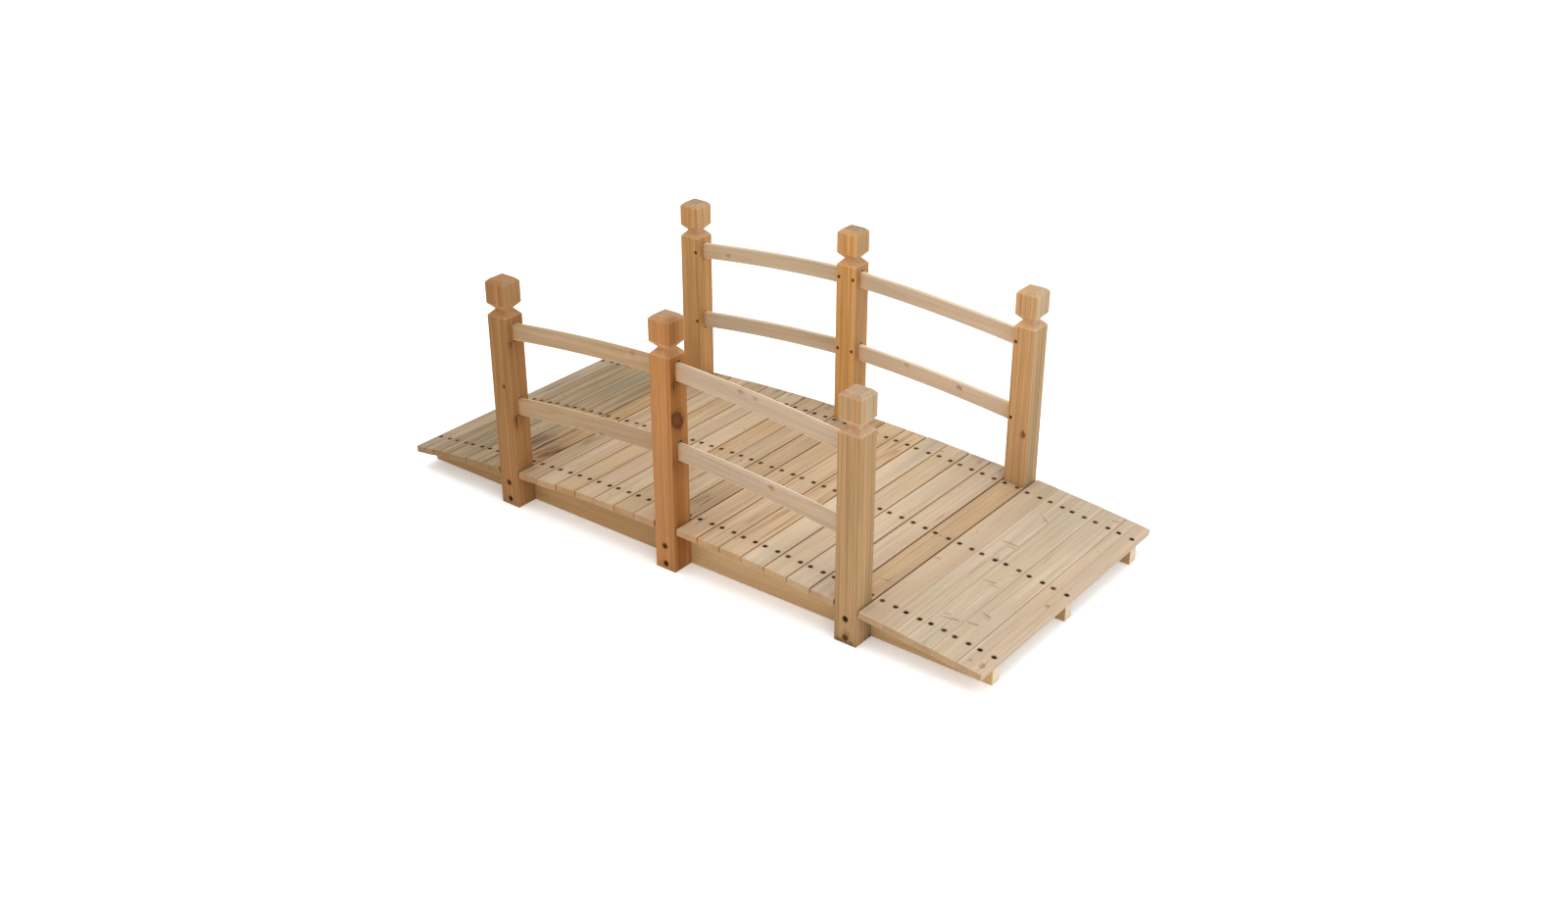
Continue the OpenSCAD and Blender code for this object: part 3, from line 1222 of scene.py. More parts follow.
@dataclass(frozen=True)
class FloorFinish:
    """Pale matt floor with a faint mottle, lit a little from below like a light table."""

    name: str = "pale_floor"
    light: Colour = (0.96, 0.96, 0.96)
    shade: Colour = (0.94, 0.94, 0.94)
    lit: Colour = (1.0, 1.0, 1.0)
    mottle: Streaking = Streaking(1.5, 1.5, 3.0)
    roughness: float = 0.7
    glow: float = 0.25

    def material(self) -> bpy.types.Material:
        """Builds the finish from one slow noise.

        Returns:
            The material.
        """
        craft = Craft(self.name)
        place = craft.node("ShaderNodeTexCoord", {}, {}, "Object")
        return craft.close({
            "Base Color": craft.mix(self.mottle.draw(place), self.light, self.shade),
            "Roughness": self.roughness,
            "Emission Color": craft.rgba(self.lit),
            "Emission Strength": self.glow,
        })


@dataclass(frozen=True)
class Arch:
    """The circle that the walking surface follows."""

    crown_height: float = 0.103
    end_height: float = 0.052
    half_length: float = 0.750

    @property
    def radius(self) -> float:
        """Radius of an arc of this half length and rise: (l^2 + r^2) / 2r."""
        rise = self.crown_height - self.end_height
        return (self.half_length**2 + rise**2) / (2.0 * rise)

    @property
    def centre_height(self) -> float:
        """Height of the circle's centre, far under the ground."""
        return self.crown_height - self.radius

    def height(self, along: Array, under: float) -> Array:
        """Height of the arch at places along it, on a circle that lies a distance under the surface."""
        return self.centre_height + np.sqrt((self.radius - under) ** 2 - along**2)


@dataclass(frozen=True)
class RailCurve:
    """The centre line of one rail: an arc between two post faces."""

    start: Pair
    finish: Pair
    rise: float

    @property
    def chord(self) -> float:
        """Straight distance between the post faces."""
        return math.dist(self.start, self.finish)

    @property
    def tilt(self) -> float:
        """Slope of the chord."""
        return math.atan2(self.finish[1] - self.start[1], self.finish[0] - self.start[0])

    @property
    def radius(self) -> float:
        """Radius of an arc of this chord and rise: c^2 / 8r + r / 2."""
        return self.chord**2 / (8.0 * self.rise) + self.rise / 2.0

    @property
    def half_angle(self) -> float:
        """Half the angle that the arc spans."""
        return math.asin(self.chord / (2.0 * self.radius))

    @property
    def centre(self) -> Pair:
        """Centre of the arc, under the chord's middle and square to it."""
        drop = self.radius - self.rise
        middle_x = (self.start[0] + self.finish[0]) / 2.0
        middle_z = (self.start[1] + self.finish[1]) / 2.0
        return middle_x + drop * math.sin(self.tilt), middle_z - drop * math.cos(self.tilt)

    def slope(self, end: int) -> float:
        """Slope where the rail enters the post at its start (-1) or its finish (1)."""
        return self.tilt - end * self.half_angle

    def height(self, along: Array, above: Array) -> Array:
        """Height of points that lie a distance above the centre line, measured along the radius."""
        centre_x, centre_z = self.centre
        return centre_z + np.sqrt((self.radius + above) ** 2 - (along - centre_x) ** 2)

    def chord_height(self, along: Array) -> Array:
        """Height of the chord at places along the bridge."""
        return self.start[1] + (along - self.start[0]) * math.tan(self.tilt)


def board_random(name: str) -> np.random.Generator:
    """Random numbers that belong to one board, the same in each run."""
    return np.random.default_rng([SEED, *name.encode()])


def stray_knots(
    random: np.random.Generator, count: int, half_length: float, half_width: float, axis: int = 0
) -> list[Knot]:
    """Scatters faint pin knots over a board.

    Args:
        random: The board's random numbers.
        count: How many knots.
        half_length: Half the length that they lie on.
        half_width: Half the width that they lie on.
        axis: Section axis that the width runs along.

    Returns:
        The knots.
    """
    return [
        Knot(
            along=random.uniform(-half_length, half_length),
            across=random.uniform(-half_width, half_width),
            radius=random.uniform(0.0016, 0.0036),
            darkness=random.uniform(0.2, 0.5),
            axis=axis,
            stretch=random.uniform(1.0, 1.9),
        )
        for _ in range(count)
    ]


@dataclass
class Deck:
    """The cross planks, laid tangent to the arch and screwed to the three stringers."""

    arch: Arch
    screw_rows: tuple[float, ...]
    plank_count: int = 27
    short_planks: tuple[int, ...] = (6, 14, 22)
    plank_width: float = 0.0542
    end_width: float = 0.0540
    short_width: float = 0.053
    end_planks: int = 5
    thickness: float = 0.015
    ease: float = 0.0012
    end_ease: float = 0.00096
    end_trim: float = 0.0022
    bow: float = 0.0003
    end_bow: float = 0.00009
    cup: float = 0.0002
    wave_range: Pair = (2.0, 7.0)
    screw_spread: float = 0.015
    screw_reach: float = 0.0072
    screw_depth: float = 0.0016
    depth_range: Pair = (0.8, 1.3)
    column_wander: float = 0.001
    row_wander: float = 0.0015
    hole_wander: float = 0.0008
    line_pitch: float = 0.030
    line_clearance: float = 0.002
    pith_aside: float = 0.05
    pith_depth: Pair = (0.02, 0.09)
    stray_count: int = 2
    stray_reach: float = 0.95
    stray_half: float = 0.42
    # Share of the painted gap shade on rounded edges, less on the trodden end planks
    sawn_edge: float = 0.5
    rubbed: float = 0.12
    trodden_edge: float = 0.25
    trodden_rubbed: float = 0.6
    tones: tuple[Tone, ...] = (
        Tone.ASHEN, Tone.DUSKY, Tone.GREYED, Tone.GREYED, Tone.DUSKY, Tone.TAWNY,
        Tone.BUFF, Tone.PLAIN, Tone.HONEY, Tone.PLAIN, Tone.CREAM, Tone.HONEY, Tone.PLAIN, Tone.OCHRE,
        Tone.FLAMED, Tone.STRAW, Tone.FLAMED, Tone.PALE, Tone.CREAM, Tone.PALE, Tone.BLUSH, Tone.HONEY,
        Tone.BLUSH, Tone.SEDGE, Tone.SEDGE, Tone.SEDGE, Tone.BLUSH,
    )
    # Blots at 0.33 along the back edge are painted shadows of the back rails, and those from -0.27 to -0.12
    # on planks 5 to 7, 13 to 15 and 22 are painted shadows of the front posts. The rest, on planks 1 to 5,
    # are water marks.
    blots: dict[int, list[Blot]] = field(default_factory=lambda: {
        1: [Blot(-0.30, 0.10, 0.6), Blot(0.10, 0.20, 0.5)],
        2: [Blot(-0.10, 0.22, 0.6), Blot(0.25, 0.12, 0.5)],
        3: [Blot(-0.24, 0.12, 0.6), Blot(0.16, 0.16, 0.5)],
        4: [Blot(0.05, 0.20, 0.5)],
        5: [Blot(-0.20, 0.13, 1.0), Blot(0.20, 0.15, 0.5)],
        6: [Blot(-0.21, 0.11, 1.0)],
        7: [Blot(-0.12, 0.14, 0.7), Blot(0.33, 0.12, 0.6)],
        9: [Blot(0.33, 0.12, 0.6)],
        10: [Blot(0.33, 0.10, 0.7)],
        11: [Blot(0.33, 0.12, 0.7)],
        12: [Blot(0.33, 0.10, 0.6)],
        13: [Blot(0.33, 0.12, 0.6), Blot(-0.20, 0.10, 0.5)],
        14: [Blot(-0.22, 0.16, 0.75)],
        15: [Blot(-0.27, 0.08, 0.5), Blot(0.33, 0.10, 0.6)],
        18: [Blot(0.33, 0.09, 0.7)],
        20: [Blot(0.33, 0.10, 0.8)],
        21: [Blot(0.33, 0.09, 0.8)],
        22: [Blot(-0.24, 0.10, 0.6)],
    })
    knots: dict[int, list[Knot]] = field(default_factory=lambda: {
        2: [slash(0.045, 0.016, 0.007), streak(-0.10, -0.010, 0.12, 0.01)],
        3: [streak(0.15, 0.008, 0.10, -0.01), streak(-0.20, -0.014, 0.07)],
        5: [streak(-0.156, 0.002, 0.060, 0.02, 0.9), streak(-0.150, 0.008, 0.045, 0.03, 0.8),
            streak(-0.170, -0.006, 0.050, 0.01, 0.7)],
        6: [Knot(-0.243, 0.010, 0.006, 0.8, stretch=3.0), streak(-0.20, 0.004, 0.08, 0.02, 0.8),
            streak(-0.16, 0.015, 0.09, 0.03, 0.7)],
        9: [slash(0.130, -0.015, 0.008), streak(-0.161, 0.022, 0.05, 0.0, 0.8)],
        11: [slash(0.113, 0.016, 0.007), streak(-0.05, -0.012, 0.10)],
        13: [streak(-0.077, -0.022, 0.075, 0.015, 0.7)],
        15: [streak(-0.05, 0.012, 0.14, 0.01, 0.5), streak(0.16, -0.006, 0.10, -0.02, 0.5)],
        16: [streak(0.02, -0.016, 0.11, 0.02, 0.5), streak(-0.18, 0.006, 0.09, 0.01, 0.5)],
        17: [streak(0.003, -0.019, 0.050, 0.01, 0.9), streak(-0.202, -0.015, 0.080, 0.058, 0.9),
             streak(0.233, 0.007, 0.062, 0.095, 0.7), streak(-0.196, -0.010, 0.070, 0.050, 0.6)],
        19: [slash(0.296, -0.022, 0.006), streak(-0.10, 0.010, 0.10, 0.01, 0.4)],
        21: [streak(0.053, 0.016, 0.016, 0.0, 0.9)],
        22: [slash(-0.212, 0.003, 0.018, 0.2, 0.5), streak(0.10, -0.008, 0.09, 0.0, 0.4)],
        23: [slash(-0.076, -0.019, 0.008, 0.3)],
        24: [slash(0.072, 0.002, 0.025, 0.1), slash(0.206, 0.008, 0.020, -0.7, 0.6),
             Knot(0.002, 0.015, 0.006, 0.5), slash(0.062, 0.016, 0.010, 0.25, 0.5)],
        25: [slash(-0.073, -0.009, 0.018, 0.22), slash(-0.081, 0.004, 0.012, 0.25, 0.5),
             slash(-0.231, 0.0, 0.025, 0.38, 0.8), slash(-0.222, -0.012, 0.010, 0.2, 0.5)],
        26: [slash(-0.214, -0.012, 0.013, 0.38, 0.8), slash(-0.1715, -0.012, 0.017, -0.15, 0.8),
             slash(-0.181, -0.004, 0.012, 0.1, 0.5), slash(0.306, 0.014, 0.008, 0.5)],
        27: [Knot(-0.309, 0.012, 0.005, 0.6), Knot(-0.062, 0.005, 0.0035, 0.7)],
    })

    def build(self, material: bpy.types.Material) -> list[Seat]:
        """Lays every plank.

        Args:
            material: The deck's finish.

        Returns:
            The seats of the planks' screws.
        """
        seats = []
        for number in range(1, self.plank_count + 1):
            seats += self.lay_plank(number, material)
        return seats

    def at_end(self, number: int) -> bool:
        """Whether a plank lies outside the end posts."""
        return min(number, self.plank_count + 1 - number) <= self.end_planks

    def width(self, number: int) -> float:
        """Width of a plank, the gap to its neighbour left out."""
        whole = self.end_width if self.at_end(number) else self.plank_width
        return self.short_width if number in self.short_planks else whole

    def bore(self, column: float, row: float, random: np.random.Generator) -> Bore:
        """One screw hole, a little deeper or shallower and a little aside of its place."""
        depth = self.screw_depth * random.uniform(*self.depth_range)
        shift = tuple(random.uniform(-self.hole_wander, self.hole_wander, 2))
        return Bore(Face.ABOVE, column, row, self.screw_reach, depth, shift)

    def lay_plank(self, number: int, material: bpy.types.Material) -> list[Seat]:
        """Saws, bores and lays one plank.

        Args:
            number: The plank's number from the left end.
            material: The deck's finish.

        Returns:
            The seats of its screws.
        """
        name = f"plank_{number:02d}"
        random = board_random(name)
        low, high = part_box(name)
        aside, ahead = self.column_wander, self.row_wander
        columns = [side * self.screw_spread + random.uniform(-aside, aside) for side in (-1, 1)]
        rows = [row + random.uniform(-ahead, ahead) for row in self.screw_rows]
        bores = [self.bore(column, row, random) for column in columns for row in rows]
        start = low.y + random.uniform(0.0, self.end_trim)
        stop = high.y - random.uniform(0.0, self.end_trim)
        board = self.saw_plank(self.width(number), (start, stop), columns, rows)
        for bore in bores:
            board.press(bore)
        self.mark_plank(board, number, stop, random)
        place = self.placing(number, (low + high) / 2.0, random)
        board.make(name, place, material, "deck_wood")
        return [board.seat(bore, place) for bore in bores]

    def saw_plank(
        self, width: float, ends: Pair, columns: list[float], rows: list[float]
    ) -> Board:
        """Saws a plank with grid lines through its screw holes.

        Args:
            width: The plank's width.
            ends: Where it starts and stops across the bridge.
            columns: Places of the holes over its width.
            rows: Places of the holes along it.

        Returns:
            The plank.
        """
        start, stop = ends
        fine = np.concatenate([patch_lines(row, self.screw_reach) for row in rows])
        coarse = np.arange(start + self.line_pitch / 2, stop - self.line_pitch / 2, self.line_pitch)
        away = np.abs(coarse[:, None] - np.array(rows)).min(axis=1)
        lines = np.concatenate([fine, coarse[away > self.screw_reach + self.line_clearance]])
        wide = np.concatenate([patch_lines(column, self.screw_reach) for column in columns])
        section = Section(width / 2, self.thickness / 2, self.ease, {Face.ABOVE: wide})
        return Board(section, Run.straight(start, stop, self.end_ease, lines))

    def mark_plank(self, board: Board, number: int, reach: float, random: np.random.Generator) -> None:
        """Gives a plank painted shade on its faces in the gaps, wear, water marks and painted shadows,
        grain, knots and tint.

        Args:
            board: The plank.
            number: Its number from the left end.
            reach: Half its length.
            random: Its random numbers.
        """
        trodden = number > self.plank_count - self.end_planks
        # Painted shade goes only on faces in a gap, so the end planks' outer faces have none
        inner = {1: (Face.RIGHT,), self.plank_count: (Face.LEFT,)}
        edge = self.trodden_edge if trodden else self.sawn_edge
        board.saw(inner.get(number, (Face.LEFT, Face.RIGHT)), edge)
        board.rub(self.trodden_rubbed if trodden else self.rubbed)
        # Water marks and painted shadows
        for blot in self.blots.get(number, []):
            board.soak(blot)
        pith = (random.uniform(-self.pith_aside, self.pith_aside), -random.uniform(*self.pith_depth))
        board.lay_grain(pith, random.uniform(0.0, TRUNK))
        half = self.width(number) * self.stray_half
        strays = stray_knots(random, self.stray_count, reach * self.stray_reach, half)
        board.mark_knots(self.knots.get(number, []) + strays)
        board.dye(self.tones[number - 1], random.uniform(*LIGHT_RANGE))

    def placing(self, number: int, middle: Vector, random: np.random.Generator) -> Placing:
        """Works out how a plank lies.

        Formula: the plank lies square to the arch's radius through its middle. Its edges bow by two slow
        sines along it, and its face cups as the square of the share of its half width.

        Args:
            number: The plank's number from the left end.
            middle: The middle of its node.
            random: Its random numbers.

        Returns:
            The placing.
        """
        slope = math.atan2(middle.x, middle.z - self.arch.centre_height)
        half = self.width(number) / 2.0
        bow = self.end_bow if self.at_end(number) else self.bow
        waves = random.uniform(*self.wave_range, 2)
        phases = random.uniform(0.0, 2.0 * math.pi, 2)
        cup = random.uniform(-self.cup, self.cup)

        def place(across: Array, along: Array) -> Array:
            """Turns the plank about Y to the arch's slope and carries it to its middle.

            Args:
                across: Places in the section.
                along: Places along the plank.

            Returns:
                The points.
            """
            wave = np.sin(waves[0] * along + phases[0]) + 0.5 * np.sin(3.0 * waves[1] * along + phases[1])
            side = across[..., 0] + bow * wave
            lift = across[..., 1] + cup * (across[..., 0] / half) ** 2
            return np.stack([
                middle.x + math.cos(slope) * side + math.sin(slope) * lift,
                along,
                middle.z - math.sin(slope) * side + math.cos(slope) * lift,
            ], axis=-1)

        return place


@dataclass
class Stringers:
    """The three arched beams on the ground under the planks."""

    arch: Arch
    plank_thickness: float
    ease: float = 0.0012
    line_pitch: float = 0.030
    words: tuple[str, ...] = ("front", "mid", "back")
    tones: tuple[Tone, ...] = (Tone.CARAMEL, Tone.UMBER, Tone.UMBER)
    # Painted light on the right half, where the lamp at the right lights the stringers
    right_tint: Colour = (1.24, 1.34, 1.47)
    pith_reach: float = 0.03
    stray_count: int = 3
    stray_reach: float = 0.9
    stray_half: float = 0.02

    def build(self, material: bpy.types.Material) -> None:
        """Saws every stringer."""
        for word, tone in zip(self.words, self.tones):
            self.saw_stringer(word, tone, material)

    def saw_stringer(self, word: str, tone: Tone, material: bpy.types.Material) -> None:
        """Saws one stringer: flat under, and cut to the arch on top.

        Formula: points of the section's upper half hang from the arch's circle, and points of its lower
        half stand on the ground.

        Args:
            word: The stringer's word in its node's name.
            tone: Its cast.
            material: The stringers' finish.
        """
        name = f"stringer_{word}"
        random = board_random(name)
        low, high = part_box(name)
        middle_y = (low.y + high.y) / 2.0
        half_height = float(self.arch.height(np.array(high.x), self.plank_thickness)) / 2.0
        lines = np.arange(low.x + self.line_pitch, high.x - self.line_pitch / 2, self.line_pitch)
        section = Section((high.y - low.y) / 2.0, half_height, self.ease)
        board = Board(section, Run.straight(low.x, high.x, self.ease, lines))
        lift = board.across[..., 1]
        top = self.arch.height(board.along, self.plank_thickness)
        board.across[..., 1] = np.where(lift > 0.0, top - half_height + lift, half_height + lift)
        pith = (random.uniform(-self.pith_reach, self.pith_reach), -self.pith_reach)
        board.lay_grain(pith, random.uniform(0.0, TRUNK))
        reach = high.x * self.stray_reach
        board.mark_knots(stray_knots(random, self.stray_count, reach, self.stray_half, axis=1))
        board.dye(tone, ends=Tone.PLAIN)
        # Painted light on the right half
        board.bleach(0.0, high.x + self.line_pitch, self.right_tint)

        def place(across: Array, along: Array) -> Array:
            """Sets the beam under its row of screws."""
            return np.stack([along, middle_y + across[..., 0], across[..., 1]], axis=-1)

        board.make(name, place, material, "stringer_wood")


@dataclass
class Rails:
    """The eight curved rails, upper and lower in each bay of both sides."""

    post_spacing: float
    post_width: float
    shoulders: tuple[float, float, float]
    height: float = 0.036
    thickness: float = 0.012
    ease: float = 0.0015
    end_ease: float = 0.0009
    drop: float = 0.0335
    spacing: float = 0.173
    rise: float = 0.005
    tenon: float = 0.015
    mortise_play: float = 0.001
    mortise_slack: float = 0.003
    cheek_clearance: float = 0.0002
    tenon_clearance: float = 0.0008
    line_pitch: float = 0.012
    # Painted shade on the front of a rail's top, and a painted highlight along its back edge
    strip_edges: Pair = (0.0014, 0.0026)
    top_tint: Colour = (0.88, 0.85, 0.83)
    strip_tint: Colour = (1.50, 1.42, 1.36)
    # Painted light near a rail's ends, where the posts shade it
    end_tint: Colour = (1.20, 1.12, 1.00)
    end_reach: float = 0.033
    pith_aside: Pair = (0.02, 0.06)
    pith_lift: float = 0.02
    tones: dict[tuple[Side, Bay], Tone] = field(default_factory=lambda: {
        (Side.FRONT, Bay.LEFT): Tone.SAND,
        (Side.FRONT, Bay.RIGHT): Tone.OATMEAL,
        (Side.BACK, Bay.LEFT): Tone.CREAM,
        (Side.BACK, Bay.RIGHT): Tone.CHALK,
    })
    knots: dict[tuple[Side, Bay, Row], list[Knot]] = field(default_factory=lambda: {
        (Side.FRONT, Bay.RIGHT, Row.UPPER): [
            cheek_knot(0.186, 0.017, 0.0045, 0.5, 1.3),
            cheek_knot(0.220, 0.015, 0.0030, 0.4, 1.6),
        ],
        (Side.FRONT, Bay.RIGHT, Row.LOWER): [cheek_knot(0.259, 0.015, 0.0045, 0.55, 1.4)],
        (Side.FRONT, Bay.LEFT, Row.LOWER): [cheek_knot(-0.182, -0.012, 0.0040, 0.5, 1.4)],
        (Side.FRONT, Bay.LEFT, Row.UPPER): [cheek_knot(-0.087, 0.015, 0.0040, 0.5, 1.4)],
        (Side.BACK, Bay.RIGHT, Row.LOWER): [
            cheek_knot(0.291, 0.010, 0.0045, 0.6, 1.3),
            cheek_knot(0.154, 0.015, 0.0035, 0.5, 1.5),
        ],
        (Side.BACK, Bay.LEFT, Row.UPPER): [cheek_knot(-0.349, -0.002, 0.0040, 0.5, 1.4)],
    })

    def curve(self, bay: Bay, row: Row) -> RailCurve:
        """Centre line of the rails in one bay and row, from post face to post face.

        Args:
            bay: Left or right.
            row: Upper or lower.

        Returns:
            The centre line.
        """
        ends = []
        for station, inward in ((bay.value, 1), (bay.value + 1, -1)):
            face = (station - 1) * self.post_spacing + inward * self.post_width / 2.0
            ends.append((face, self.centre_height(station, row)))
        return RailCurve(ends[0], ends[1], self.rise)

    def centre_height(self, station: int, row: Row) -> float:
        """Height of a rail's centre line at a post's face."""
        return self.shoulders[station] - self.drop - row.value * self.spacing

    def mortise(self, station: Station, face: Face, row: Row) -> Pocket:
        """Level pocket that takes a rail's sloping end, with play, and a slot over it at the middle posts.

        Args:
            station: The post's place.
            face: The post's left or right face.
            row: Upper or lower rail.

        Returns:
            The pocket.
        """
        outward = int(face.normal[0])
        bay = Bay(station.value if outward > 0 else station.value - 1)
        slope = self.curve(bay, row).slope(-outward)
        drift = self.tenon * math.tan(slope)
        slack = self.mortise_slack if station is Station.MID else 0.0
        tall = self.height / math.cos(slope) + abs(drift) + 2.0 * self.mortise_play + slack
        return Pocket(
            face,
            self.centre_height(station.value, row) - outward * drift / 2.0 + slack / 2.0,
            self.thickness / 2.0 + self.cheek_clearance,
            tall / 2.0,
            self.tenon + self.tenon_clearance,
        )

    def build(self, material: bpy.types.Material) -> None:
        """Saws every rail.

        Args:
            material: The rails' finish.
        """
        for side in Side:
            for bay in Bay:
                for row in Row:
                    self.saw_rail(side, bay, row, material)

    def pale_strip(self, board: Board) -> None:
        """Paints light on a rail's top: painted shade towards the front, and a painted highlight along the
        back edge.

        Formula: the tint goes from the shade to the highlight by a smooth step of the place over the
        thickness.

        Args:
            board: The rail.
        """
        share = smooth_step(*self.strip_edges, board.across[..., 0])[..., None]
        tint = np.array(self.top_tint) * (1.0 - share) + np.array(self.strip_tint) * share
        upper = (board.face < 0) & (board.across[..., 1] > 0.0)
        top = (upper | (board.face == Face.ABOVE.value))[..., None]
        board.traits["tone"] = board.traits["tone"] * np.where(top, tint, 1.0)

    def saw_rail(self, side: Side, bay: Bay, row: Row, material: bpy.types.Material) -> None:
        """Saws one rail, whose grain runs along its chord.

        Args:
            side: Front or back.
            bay: Left or right.
            row: Upper or lower.
            material: The rails' finish.
        """
        name = f"rail_{side.word}_{bay.word}_{row.word}"
        random = board_random(name)
        low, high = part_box(name)
        middle_y = (low.y + high.y) / 2.0
        curve = self.curve(bay, row)
        lines = np.arange(low.x + self.line_pitch, high.x - self.line_pitch / 2, self.line_pitch)
        edges = {Face.ABOVE: np.array(self.strip_edges)}
        section = Section(self.thickness / 2.0, self.height / 2.0, self.ease, edges)
        board = Board(section, Run.straight(low.x, high.x, self.end_ease, lines))
        board.across[..., 1] = curve.height(board.along, board.across[..., 1])
        board.across[..., 1] -= curve.chord_height(board.along)
        aside = random.choice([-1.0, 1.0]) * random.uniform(*self.pith_aside)
        pith = (aside, random.uniform(-self.pith_lift, self.pith_lift))
        board.lay_grain(pith, random.uniform(0.0, TRUNK))
        board.rub(1.0, (Face.ABOVE,))
        board.mark_knots(self.knots.get((side, bay, row), []))
        board.dye(self.tones[side, bay], random.uniform(*LIGHT_RANGE))
        # Painted shade and highlight on the rail's top
        self.pale_strip(board)
        # Painted light near both ends, against the posts' shade
        board.bleach(low.x - self.tenon, low.x + self.end_reach, self.end_tint, fade=self.tenon)
        board.bleach(high.x - self.end_reach, high.x + self.tenon, self.end_tint, fade=self.tenon)

        def place(across: Array, along: Array) -> Array:
            """Lifts the rail onto its chord."""
            lift = across[..., 1] + curve.chord_height(along)
            return np.stack([along, middle_y + across[..., 0], lift], axis=-1)

        board.make(name, place, material, "rail_wood")


@dataclass(frozen=True)
class PostShape:
    """The sizes of a post's square shaft, of the groove round it and of the finial."""

    width: float = 0.051
    ease: float = 0.0010
    groove_height: float = 0.0265
    groove_depth: float = 0.0125
    finial_height: float = 0.0465
    finial_bevel: float = 0.0075

    def shoulder(self, top: float) -> float:
        """Height of the groove's lower edge on a post of this height."""
        return top - self.finial_bevel - self.finial_height - self.groove_height

    def outline(self, top: float) -> list[Pair]:
        """A post's outline, drawn in at the groove and at the finial's bevel.

        Args:
            top: The post's height.

        Returns:
            The outline as (height, inset) pairs, from cap to cap.
        """
        shoulder = self.shoulder(top)
        return [
            (0.0, CAP_RING),
            (0.0, 0.0),
            (shoulder, 0.0),
            (shoulder + self.groove_height / 2.0, self.groove_depth),
            (shoulder + self.groove_height, 0.0),
            (top - self.finial_bevel, 0.0),
            (top, self.finial_bevel),
            (top, self.finial_bevel + CAP_RING),
        ]


@dataclass(frozen=True)
class Timber:
    """What one post is sawn from: its cast, the log's pith, its knots, how dark its foot is, and the
    painted light and shade on its right face.
    """

    tone: Tone
    pith: Pair
    knots: tuple[Knot, ...] = ()
    damp: float = 0.35
    ends: Tone | None = None
    light: float = 1.0
    # Painted light on the right face where above one, painted shade where below
    flank: Colour = (1.0, 1.0, 1.0)


